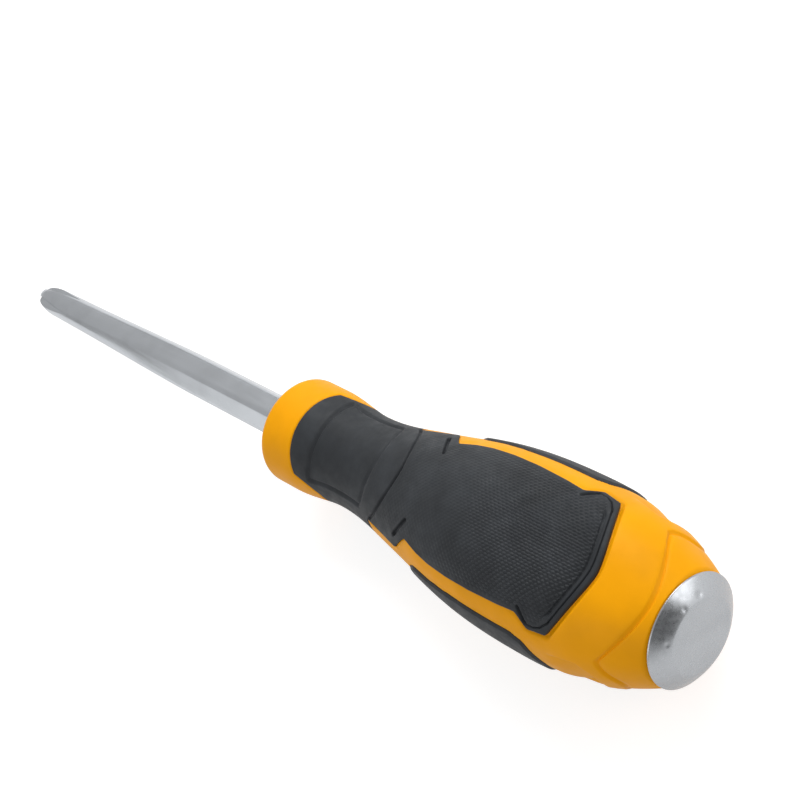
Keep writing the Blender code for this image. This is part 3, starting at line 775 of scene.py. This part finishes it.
INSERT_SIDE = ahead(((-6.8, 6.0), (-4.8, 24.5), (-1.9, 29.0), (11.7, 29.0), (25.3, 26.0),
                     (27.3, 20.0)))
INSERT_BEVEL = (0.7, 0.2)
INSERT_BEVEL_DROP = 0.22
INSERT_GUESS = 25.0
INSERT_ROW_STEPS = (0.04, 0.16)
INSERT_COLUMN_STEPS = (0.004, 0.018)
INSERT_FLOOR_MARKS = 12


def insert_edge(s):
    """Half angle of a side insert at a station, from the middle of its side."""
    eased = soft_corners(*half_widths(INSERT_SIDE, True), s)
    return turn_of_width(s, eased, INSERT_GUESS, True)


def insert_skin(name, middle):
    """One side insert, bevelled all round."""
    v = graded(INSERT_SIDE[0][0], INSERT_SIDE[-1][0], *INSERT_ROW_STEPS)
    q = graded(-1, 1, *INSERT_COLUMN_STEPS)
    turn = q[None, :] * insert_edge(v)[:, None]
    s = np.repeat(v[:, None], len(q), axis=1)
    radius = section(s, turn + middle)
    base = place(s, turn + middle, radius)
    border = nearest(base, (base[0], base[-1], base[:, 0], base[:, -1]))
    drop = fillet(border, SOFT_EDGE) + INSERT_BEVEL_DROP * fade(border, *INSERT_BEVEL)
    add_panel(name + "_skin", name, s, turn + middle, radius, drop, INSERT_FLOOR_MARKS)


# Hard handle

RIDGE_START = 1.45
RIDGE_SWEEP = 6.4
RIDGE_CORNER = 60.0
RIDGE_SIDE = 5.6
RIDGE_TURN_BACK = 28.0
RIDGE_STEP = 0.25
RIDGE_STEP_ENDS = (0.3, -0.2)
RIDGE_LINE = 0.30
RIDGE_LINE_HALF = 0.33
RIDGE_LINE_PAST = 0.05
MOAT_WIDTH = 1.1
MOAT_DEPTH = 0.75
MOAT_FLOOR = 0.2
MOAT_EDGE = (0.1, 0.0)
POCKET_WALL = (-0.05, 0.35)
STRIP_FADE = 14.0
SCOOP_REAR = BULGE - 18.1
SCOOP_REAR_BOW = 2.0
SCOOP_FLOOR = BULGE - 15.4
SCOOP_FRONT = BULGE - 8.4
SCOOP_DEPTH = 1.1
SCOOP_TURN = 66.5
SCOOP_SPREAD = 20.0
SCOOP_LIP = 0.8
STEM_BORE = 6.8
HEAD_BORE = 7.3
HEAD_BORE_BREAK = 0.3
BESIDE_PALM = ((50.6, -10.8), (53.0, -9.9), (60.0, -9.0), (75.0, -8.4), (90.0, -8.2))
BARREL_START = BULGE - 2.4
MOAT_END = (BARREL_START + 1.0, BARREL_START - 5.0)
CORE_COLUMNS = 360
# Guides that the rows follow: behind and ahead of the ridge, and of the pockets' rear edge
RIDGE_ROWS = (-0.4, 0.5)
MOAT_ROWS = (-MOAT_WIDTH - 0.1, 0.5)
# Rows from one guide to the next as far as the barrel's start, and steps between rows after it
BUTT_COUNTS = (7, 10, 18, 9, 4, 22)
BARREL_STEP = 0.54
NECK_STEP = 0.32
NOSE_ROWS = 12
# Points on the lines from which distances are taken
SIDE_POINTS = 160
MOAT_POINTS = 28
TIP_POINTS = 12
BOW_POINTS = 41
INSERT_POINTS = 80


def ridge_station(turn):
    """The raised line round the butt: forward at two corners, back at the sides."""
    off = from_panel(turn)
    sweep = RIDGE_START + RIDGE_SWEEP * (off / RIDGE_CORNER) ** 2
    corner = RIDGE_START + RIDGE_SWEEP - RIDGE_SIDE
    back = RIDGE_SIDE + corner * ease((90 - off) / RIDGE_TURN_BACK)
    return SEAT + np.minimum(sweep, back)


def scoop_drop(s, turn):
    """Hollow at each side behind the insert, with a crisp rear lip and crisp sides."""
    off = from_panel(turn)
    rear = SCOOP_REAR + SCOOP_REAR_BOW * ((90 - off) / SCOOP_SPREAD) ** 2
    into = np.minimum(s - rear, (off - SCOOP_TURN) * np.radians(1) * section(s, turn))
    lip = np.sin(np.pi / 2 * np.clip(into / SCOOP_LIP, 0, 1))
    return SCOOP_DEPTH * lip * fade(s, SCOOP_FRONT, SCOOP_FLOOR)


def soft_rear(turn):
    """Smooth guide along the palm's rear edge and behind the side inserts."""
    off = from_panel(turn)
    beside = BULGE + np.interp(off, *zip(*BESIDE_PALM))
    return np.where(off < BESIDE_PALM[0][0], rear_edge(off), beside)


def soft_depth(s, turn):
    """Distances in millimetres: inside the soft pieces' outlines, and from the moats' lines."""
    base = place(s, turn, section(s, turn))
    v = np.linspace(REAR_CORNER, BAND, SIDE_POINTS)
    side = palm_edge(v)
    tip_v = np.linspace(TONGUE_SIDE, TONGUE_CORNER, TIP_POINTS)
    tip_side = band_edge(tip_v)
    q = np.linspace(-1, 1, BOW_POINTS)
    off = from_panel(turn)
    corner_turn = PALM_SIDE[0][1]
    past_rear = s > rear_edge(np.minimum(off, corner_turn))
    palm = past_rear & (s <= BAND) & (off < np.interp(s, v, side))
    rear_part = past_rear & (s < REAR_CORNER) & (off < corner_turn)
    front = TONGUE_CORNER + TONGUE_BOW * (1 - (off / TONGUE_CORNER_TURN) ** 2)
    tongue = (s > TONGUE_SIDE) & (off < np.interp(s, tip_v, tip_side)) & (s < front)
    inside = palm | rear_part | tongue | ((s > BAND) & (s <= TONGUE_SIDE))
    lines = []
    moats = []
    for middle in (0, 180):
        rear_line = surface_line([(rear_edge(k * corner_turn), k * corner_turn) for k in q],
                                 middle, 1)
        tip_line = surface_line([(TONGUE_CORNER + TONGUE_BOW * (1 - k ** 2),
                                  k * TONGUE_CORNER_TURN) for k in q], middle, 1)
        lines += [rear_line, tip_line]
        moats.append(rear_line)
        for sign in (-1, 1):
            edge_line = surface_line(list(zip(v, side * sign)), middle, 1)
            lines += [edge_line, surface_line(list(zip(tip_v, tip_side * sign)), middle, 1)]
            moats.append(edge_line[:MOAT_POINTS])
            for station, corner in ((BAND, PALM_SIDE[-1][1]), (TONGUE_SIDE, TONGUE_SIDE_TURN)):
                across = [(station, sign * corner), (station, sign * 90)]
                lines.append(surface_line(across, middle))
    w = np.linspace(INSERT_SIDE[0][0], INSERT_SIDE[-1][0], INSERT_POINTS)
    half = insert_edge(w)
    away = 90 - off
    inside |= (away < np.interp(s, w, half)) & (s > w[0]) & (s < w[-1])
    loop = list(zip(w, half)) + list(zip(w, -half))[::-1]
    lines += [surface_line(loop + loop[:1], middle, 1) for middle in (90, -90)]
    distance = nearest(base, lines)
    return np.where(inside, distance, -distance), nearest(base, moats)


def hard_drop(s, turn):
    """How far the hard handle lies below the grip's surface."""
    depth, moat = soft_depth(s, turn)
    back = ease((s - PALM_REAR) / (INSERT_SIDE[0][0] - PALM_REAR))
    front = ease((BAND - s) / STRIP_FADE)
    past_ridge = s - ridge_station(turn)
    drop = STRIP_DROP * back * front + scoop_drop(s, turn)
    drop += RIDGE_STEP * fade(past_ridge, *RIDGE_STEP_ENDS)
    drop += furrow(past_ridge - RIDGE_LINE_PAST, RIDGE_LINE_HALF, RIDGE_LINE)
    rear = fade(s, *MOAT_END) * fade(depth, *MOAT_EDGE)
    drop += MOAT_DEPTH * rear * fade(moat, MOAT_WIDTH, MOAT_FLOOR)
    return drop + (UNDER_SOFT - drop) * fade(depth, *POCKET_WALL)


def hexagon(turn, flats):
    """Radius of a hexagon that is turned with the bar."""
    off = (turn - HEX_TURN + 30) % 60 - 30
    return flats / 2 / np.cos(np.radians(off))


def hard_handle():
    """The hard plastic: outside with its pockets, round the nose and back through the bores."""
    turn = full_turn(CORE_COLUMNS)
    level = np.zeros_like(turn)
    ridge = ridge_station(turn)
    rear = soft_rear(turn)
    guides = [level + SEAT, ridge + RIDGE_ROWS[0], ridge + RIDGE_ROWS[1],
              rear + MOAT_ROWS[0], rear, rear + MOAT_ROWS[1],
              level + BARREL_START, level + WAIST, level + NOSE_END - NOSE_ROUND]
    counts = [*BUTT_COUNTS, int((WAIST - BARREL_START) / BARREL_STEP),
              int((NOSE_END - NOSE_ROUND - WAIST) / NECK_STEP)]
    rows = []
    for a, b, count in zip(guides[:-1], guides[1:], counts):
        rows += [a + (b - a) * k / count for k in range(count)]
    s = np.array(rows)
    tt = np.broadcast_to(turn, s.shape)
    outer = place(s, tt, section(s, tt) - hard_drop(s, tt))
    nose = []
    for angle in np.radians(np.linspace(0, 90, NOSE_ROWS)):
        radius = COLLAR_R - SKIN_INSET - NOSE_ROUND * (1 - math.cos(angle))
        nose.append((NOSE_END - NOSE_ROUND + NOSE_ROUND * math.sin(angle), radius))
    seat = hexagon(turn, SEAT_FLATS)
    inner = ((NOSE_END, HEAD_BORE + HEAD_BORE_BREAK), (NOSE_END - HEAD_BORE_BREAK, HEAD_BORE),
             (HEAD_REAR, HEAD_BORE), (HEAD_REAR, seat), (SLEEVE_REAR - GAP, seat),
             (SLEEVE_REAR - GAP, ROD_BORE), (STEM_END + GAP, ROD_BORE),
             (STEM_END + GAP, STEM_BORE), (SEAT, STEM_BORE))
    rings = [place(station, turn, radius) for station, radius in (*nose, *inner)]
    points, faces = loop_mesh(np.concatenate((outer, np.array(rings))))
    add_mesh("hard_handle", points, faces, plastic, "handle", "hard_plastic", "handle_core")


# Strike cap

CAP_HEIGHT = SEAT - GAP
FACE_RADIUS = 7.3
FACE_ROUND = 0.7
FACE_EDGE_DROP = 0.15
SHOULDER = 3.2
SHOULDER_BULGE = 0.15
RIM = 0.3
RIM_ROUND = 0.12
CAP_STEM = 6.5
ROD_HOLE_END = ROD_REAR - GAP
ROD_HOLE_CENTRE = 0.5
CAP_COLUMNS = 180
FACE_CENTRE = 0.3
FACE_ROWS = 30
FACE_ROUND_ROWS = 8
SHOULDER_ROWS = 26
# Places across the face, width and depth of each ding
DINGS = ((5.42, 5.93, 0.50, 0.14), (1.97, 7.69, 0.32, 0.09), (-4.36, 6.82, 0.30, 0.08),
         (0.6, -6.6, 0.50, 0.05), (2.4, 2.2, 0.35, 0.03), (-3.4, -2.1, 0.40, 0.03))


def strike_cap():
    """Steel cap from the middle of its face, over the rim and the stem, into the rod's hole."""
    rim_radius = FACE_RADIUS + SHOULDER
    flat = np.linspace(FACE_CENTRE, FACE_RADIUS - FACE_ROUND, FACE_ROWS)
    profile = [(0.0, radius) for radius in flat]
    for share in np.linspace(0, 1, FACE_ROUND_ROWS)[1:]:
        profile.append((FACE_EDGE_DROP * share ** 2, FACE_RADIUS + FACE_ROUND * (share - 1)))
    foot = CAP_HEIGHT - RIM
    for share in np.linspace(0, 1, SHOULDER_ROWS)[1:]:
        rise = FACE_EDGE_DROP + (foot - FACE_EDGE_DROP) * share
        bulge = SHOULDER_BULGE * 4 * share * (1 - share)
        profile.append((rise - bulge, FACE_RADIUS + SHOULDER * share))
    profile += [(CAP_HEIGHT - RIM_ROUND, rim_radius), (CAP_HEIGHT, rim_radius - RIM_ROUND)]
    profile += [(CAP_HEIGHT, CAP_STEM), (STEM_END, CAP_STEM), (STEM_END, ROD_BORE),
                (ROD_HOLE_END, ROD_BORE), (ROD_HOLE_END, ROD_HOLE_CENTRE)]
    turn = full_turn(CAP_COLUMNS)
    rings = np.array([place(s, turn, r) for s, r in profile])
    for y, z, size, depth in DINGS:
        away = np.hypot(rings[..., 1] - y, rings[..., 2] - z)
        on_face = rings[..., 0] > -foot
        rings[..., 0] -= on_face * depth * np.exp(-(away / size) ** 2)
    points, faces = turned_mesh(rings)
    add_mesh("cap_body", points, faces, cap_steel, "handle", "cap_steel", "strike_cap")


# Blade

CORNER_BREAK = 0.95
INNER_BREAK = 0.1
TAPER_LENGTH = 60.0
BAR_ROWS = 24
TIP_ROWS = 15
TIP_FIRST_ANGLE = 6.0
TIP_DIAMETER = 6.4
TIP_ROUND = 7.0
TIP_BLUNT = 2.6
FLUTE_TURN = -37.5
FLUTE_ROOT = 1.15
FLUTE_LENGTH = 14.0
FLAT_TIP_THICKNESS = 1.2
FLAT_TIP_LENGTH = 15.0
FLAT_TIP_EVEN = 0.125
CHEEK_CURVE = 1.35
CHEEK_OVER = 0.3
CHEEK_POINTS = 12
EDGE_EASE = 0.12


def bar_radius(turn):
    """Hexagon with its corners turned off, and the break itself eased."""
    flat = hexagon(turn, FLATS)
    corner = FLATS / math.sqrt(3) * CORNER_BREAK
    gap = np.abs(flat - corner)
    return np.minimum(flat, corner) - np.clip(EDGE_EASE - gap, 0, None) ** 2 / (4 * EDGE_EASE)


def blade_rings():
    """Rings of the bar: straight from the inner end, a long taper and a blunt round tip."""
    turn = HEX_TURN + full_turn(BLADE_COLUMNS)
    taper = BLADE_END - TAPER_LENGTH
    rounding = BLADE_END - TIP_ROUND
    tip_angles = np.radians(np.linspace(TIP_FIRST_ANGLE, 90, TIP_ROWS))
    stations = np.concatenate(([BLADE_INNER, BLADE_INNER + INNER_BREAK],
                               np.linspace(BLADE_INNER + 1, taper, BAR_ROWS),
                               np.linspace(taper, rounding, BAR_ROWS)[1:],
                               rounding + TIP_ROUND * np.sin(tip_angles)))
    rings = []
    for s in stations:
        along = (s - taper) / (rounding - taper)
        share = (ease(along) + np.clip(along, 0, 1)) / 2
        end = np.clip((s - rounding) / TIP_ROUND, 0, 1)
        tip = TIP_BLUNT / 2 + (TIP_DIAMETER - TIP_BLUNT) / 2 * math.sqrt(1 - end ** 2)
        shrink = INNER_BREAK if s == BLADE_INNER else 0.0
        rings.append(place(s, turn, bar_radius(turn) * (1 - share) + tip * share - shrink))
    return np.array(rings)


def cutter(name, mesh):
    """Hidden object that is taken off the bar."""
    obj = new_object(name, mesh)
    obj.hide_render = True
    obj.display_type = "WIRE"
    return obj


def flute_mesh(turn):
    """A square bar whose lower edge runs out of the tip."""
    tilt = math.atan2(TIP_DIAMETER / 2 - FLUTE_ROOT, FLUTE_LENGTH)
    size = TIP_DIAMETER
    corners = []
    for x in (-2 * FLUTE_LENGTH, 2 * FLUTE_LENGTH):
        for y, z in ((0, 0), (size / 2, size / 2), (0, size), (-size / 2, size / 2)):
            corners.append(Vector((x, y * math.sqrt(2), z * math.sqrt(2))))
    move = (Matrix.Rotation(-math.radians(turn), 4, "X")
            @ Matrix.Translation((-BLADE_END, 0, FLUTE_ROOT)) @ Matrix.Rotation(-tilt, 4, "Y"))
    faces = [(3, 2, 1, 0), (4, 5, 6, 7)]
    faces += [(k, (k + 1) % 4, 4 + (k + 1) % 4, 4 + k) for k in range(4)]
    mesh = bpy.data.meshes.new("flute")
    mesh.from_pydata([(move @ p) * MM for p in corners], [], faces)
    return mesh


def cheek_mesh(side):
    """A block that takes one cheek off the flat tip, deepest at the end."""
    thin = FLAT_TIP_THICKNESS / 2
    thick = FLATS / math.sqrt(3)
    start = BLADE_INNER - FLAT_TIP_LENGTH / 5
    profile = [(start, thin), (BLADE_INNER + FLAT_TIP_LENGTH * FLAT_TIP_EVEN, thin)]
    for share in np.linspace(0, 1, CHEEK_POINTS)[1:]:
        profile.append((BLADE_INNER + FLAT_TIP_LENGTH * at_least(FLAT_TIP_EVEN, share),
                        thin + (thick + CHEEK_OVER - thin) * share ** CHEEK_CURVE))
    profile += [(BLADE_INNER + FLAT_TIP_LENGTH, FLATS), (start, FLATS)]
    count = len(profile)
    turn = Matrix.Rotation(-math.radians(HEX_TURN), 4, "X")
    corners = [turn @ Vector((-s, y, side * z)) for y in (-FLATS, FLATS) for s, z in profile]
    faces = [tuple(range(count)), tuple(range(2 * count - 1, count - 1, -1))]
    faces += [(k, count + k, count + (k + 1) % count, (k + 1) % count) for k in range(count)]
    mesh = bpy.data.meshes.new("cheek")
    mesh.from_pydata([p * MM for p in corners], [], faces)
    if side < 0:
        mesh.flip_normals()
    return mesh


def blade():
    """The bar with four flutes cut into its tip and two cheeks off its inner end."""
    points, faces = turned_mesh(blade_rings())
    obj = add_mesh("blade_bar", points, faces, chrome, "blade", "blade_steel", "blade")
    tools = [cutter(f"flute_{k}", flute_mesh(FLUTE_TURN + 90 * k)) for k in range(4)]
    tools += [cutter(f"cheek_{side}", cheek_mesh(side)) for side in (-1, 1)]
    for tool in tools:
        mod = obj.modifiers.new(tool.name, "BOOLEAN")
        mod.object = tool
        mod.operation = "DIFFERENCE"
        mod.solver = "EXACT"
    bpy.context.view_layer.update()
    shown = obj.evaluated_get(bpy.context.evaluated_depsgraph_get())
    mesh = bpy.data.meshes.new_from_object(shown)
    obj.modifiers.clear()
    obj.data = mesh
    for tool in tools:
        bpy.data.objects.remove(tool, do_unlink=True)
    mesh.set_sharp_from_angle(angle=SHARP_ANGLE)


# Socket sleeve

SLEEVE_CHAMFER = 0.35
RING_WIRE = 0.7
HEAD_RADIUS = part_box("socket_sleeve")[1].z / MM


def sleeve():
    """Steel socket whose bore lies along the flats of the bar, with the ring's groove."""
    turn = HEX_TURN + full_turn(BLADE_COLUMNS)
    bore = hexagon(turn, BORE_FLATS)
    tube = hexagon(turn, SLEEVE_FLATS)
    lip = SLEEVE_FRONT - SLEEVE_CHAMFER
    room = RING_WIRE / 2 + GAP
    groove = FLATS / math.sqrt(3) + GAP + RING_WIRE / 2 + room
    groove_rear = SLEEVE_FRONT - HEAD_LENGTH / 2 - room
    groove_front = groove_rear + 2 * room
    profile = [(SLEEVE_REAR, tube), (HEAD_REAR, tube), (HEAD_REAR, HEAD_RADIUS),
               (lip, HEAD_RADIUS), (SLEEVE_FRONT, HEAD_RADIUS - SLEEVE_CHAMFER),
               (SLEEVE_FRONT, bore + SLEEVE_CHAMFER), (lip, bore), (groove_front, bore),
               (groove_front, groove), (groove_rear, groove), (groove_rear, bore),
               (SLEEVE_REAR, bore)]
    rings = np.array([place(s, turn, radius) for s, radius in profile])
    points, faces = loop_mesh(rings)
    obj = add_mesh("sleeve_body", points, faces, sleeve_steel, "handle", "sleeve_steel",
                   "socket_sleeve")
    obj.data.set_sharp_from_angle(angle=SHARP_ANGLE)


def dress_kept_nodes():
    """The ring and the rod keep their CAD meshes and get worked metal."""
    for name, mat in (("retaining_ring", spring_steel), ("impact_rod", rod_steel)):
        obj = frame["nodes"][name]
        obj.data.materials.clear()
        obj.data.materials.append(mat)
        for polygon in obj.data.polygons:
            polygon.material_index = 0


# Floor, light and camera

# Zones of the world: direction, cosines where each starts and is full, level outside and inside
WORLD_LEVEL = 0.56
WORLD_DARK = ((0.95, -0.15, 0.27), 0.80, 0.96, 1.0, 0.3)
WORLD_PALE = ((-0.60, -0.79, 0.12), 0.93, 0.985, WORLD_LEVEL, 1.2)
WORLD_DUSK = ((-0.87, -0.49, 0.03), 0.962, 0.992, 1.0, 0.25)
# Lamps: direction from the handle, distance and size in metres, power in watts
LAMPS = {"key": ((-0.25, 0.75, 0.75), 0.7, (0.6, 0.5), 3.7),
         "side": ((0.74, 0.64, 0.22), 0.7, (0.5, 0.38), 1.1),
         "fill": ((0.15, -0.85, 0.55), 0.8, (0.6, 0.5), 1.0)}
LAMP_AIM = Vector((-0.07, 0, 0))
WHITE = (1, 1, 1, 1)
FLOOR_GREY = 0.50
FLOOR_ROUGH = 0.9
FLOOR_SHINE = 0.1
FLOOR_GLOW = 0.72
FLOOR_GLOSS = 0.45
FLOOR_TILT = 3.2
FLOOR_SIZE = 6.0
PALM_SAG = 0.37
FLOOR_CLEAR = 0.1
# The camera as solved from the photo's outline
CAMERA_PLACE = Vector((0.1785, -0.0220, 0.2792))
CAMERA_RIGHT = Vector((0.6582, 0.5059, -0.5575))
CAMERA_UP = Vector((-0.3145, 0.8576, 0.4070))
CAMERA_AHEAD = Vector((-0.6841, 0.0926, -0.7235))
LENS = 90.0
SENSOR = 36.0
CLIP_START = 0.01


def floor():
    """Pale floor that the palm lies on, which glows for the camera and in reflections."""
    mesh = bpy.data.meshes.new("floor")
    half = FLOOR_SIZE / 2
    mesh.from_pydata([(-half, -half, 0), (half, -half, 0), (half, half, 0), (-half, half, 0)],
                     [], [(0, 1, 2, 3)])
    obj = new_object("floor", mesh)
    lowest = -(BULGE_R - PALM_SAG + FLOOR_CLEAR)
    obj.matrix_world = (Matrix.Translation((-BULGE * MM, 0, lowest * MM))
                        @ Matrix.Rotation(math.radians(FLOOR_TILT), 4, "Y"))
    mat, tree, shader = new_material("floor_pale")
    shader.inputs["Base Color"].default_value = (FLOOR_GREY, FLOOR_GREY, FLOOR_GREY, 1)
    shader.inputs["Roughness"].default_value = FLOOR_ROUGH
    shader.inputs["Specular IOR Level"].default_value = FLOOR_SHINE
    shader.inputs["Emission Color"].default_value = WHITE
    path = node(tree, "ShaderNodeLightPath")
    mirrored = node(tree, "ShaderNodeMath", {1: FLOOR_GLOSS}, operation="MULTIPLY")
    glow = node(tree, "ShaderNodeMath", {1: FLOOR_GLOW}, operation="MULTIPLY_ADD")
    tree.links.new(path.outputs["Is Glossy Ray"], mirrored.inputs[0])
    tree.links.new(path.outputs["Is Camera Ray"], glow.inputs[0])
    tree.links.new(mirrored.outputs[0], glow.inputs[2])
    tree.links.new(glow.outputs[0], shader.inputs["Emission Strength"])
    mesh.materials.append(mat)


def toward(tree, direction, first, last, low, high):
    """Grey level that goes from low to high as a ray comes near to a direction."""
    coord = node(tree, "ShaderNodeTexCoord")
    dot = node(tree, "ShaderNodeVectorMath", {1: Vector(direction).normalized()},
               operation="DOT_PRODUCT")
    spread = node(tree, "ShaderNodeMapRange", {1: first, 2: last, 3: low, 4: high},
                  interpolation_type="SMOOTHSTEP")
    tree.links.new(coord.outputs["Generated"], dot.inputs[0])
    tree.links.new(dot.outputs["Value"], spread.inputs[0])
    return spread.outputs[0]


def world():
    """Soft studio surround: paler behind the blade, darker past the cap and past the tip."""
    scene_world = bpy.data.worlds.new("studio")
    bpy.context.scene.world = scene_world
    scene_world.use_nodes = True
    tree = scene_world.node_tree
    tree.nodes.clear()
    out = node(tree, "ShaderNodeOutputWorld")
    level = toward(tree, *WORLD_DARK)
    for zone in (WORLD_DUSK, WORLD_PALE):
        product = node(tree, "ShaderNodeMath", operation="MULTIPLY")
        tree.links.new(level, product.inputs[0])
        tree.links.new(toward(tree, *zone), product.inputs[1])
        level = product.outputs[0]
    light = node(tree, "ShaderNodeBackground", {"Color": WHITE})
    tree.links.new(level, light.inputs["Strength"])
    white = node(tree, "ShaderNodeBackground", {"Color": WHITE, "Strength": 1.0})
    mix = node(tree, "ShaderNodeMixShader")
    path = node(tree, "ShaderNodeLightPath")
    tree.links.new(path.outputs["Is Camera Ray"], mix.inputs[0])
    tree.links.new(light.outputs[0], mix.inputs[1])
    tree.links.new(white.outputs[0], mix.inputs[2])
    tree.links.new(mix.outputs[0], out.inputs["Surface"])


def lamp(name, direction, distance, size, power):
    """Rectangular soft light that looks at the handle from a direction."""
    data = bpy.data.lights.new(name, "AREA")
    data.shape = "RECTANGLE"
    data.size, data.size_y = size
    data.energy = power
    obj = new_object(name, data)
    away = Vector(direction).normalized()
    obj.location = LAMP_AIM + away * distance
    obj.rotation_euler = away.to_track_quat("Z", "Y").to_euler()


def camera():
    data = bpy.data.cameras.new("camera")
    data.lens = LENS
    data.sensor_width = SENSOR
    data.clip_start = CLIP_START
    obj = new_object("camera", data)
    axes = Matrix((CAMERA_RIGHT, CAMERA_UP, -CAMERA_AHEAD)).transposed().to_4x4()
    obj.matrix_world = Matrix.Translation(CAMERA_PLACE) @ axes
    bpy.context.scene.camera = obj


def main():
    hard_handle()
    palm_skin("palm_skin_upper", 0)
    palm_skin("palm_skin_lower", 180)
    band_skin()
    insert_skin("side_insert_left", 90)
    insert_skin("side_insert_right", -90)
    strike_cap()
    blade()
    sleeve()
    dress_kept_nodes()
    floor()
    world()
    for name, values in LAMPS.items():
        lamp(name, *values)
    camera()
    bpy.context.scene.view_settings.view_transform = "Standard"


main()
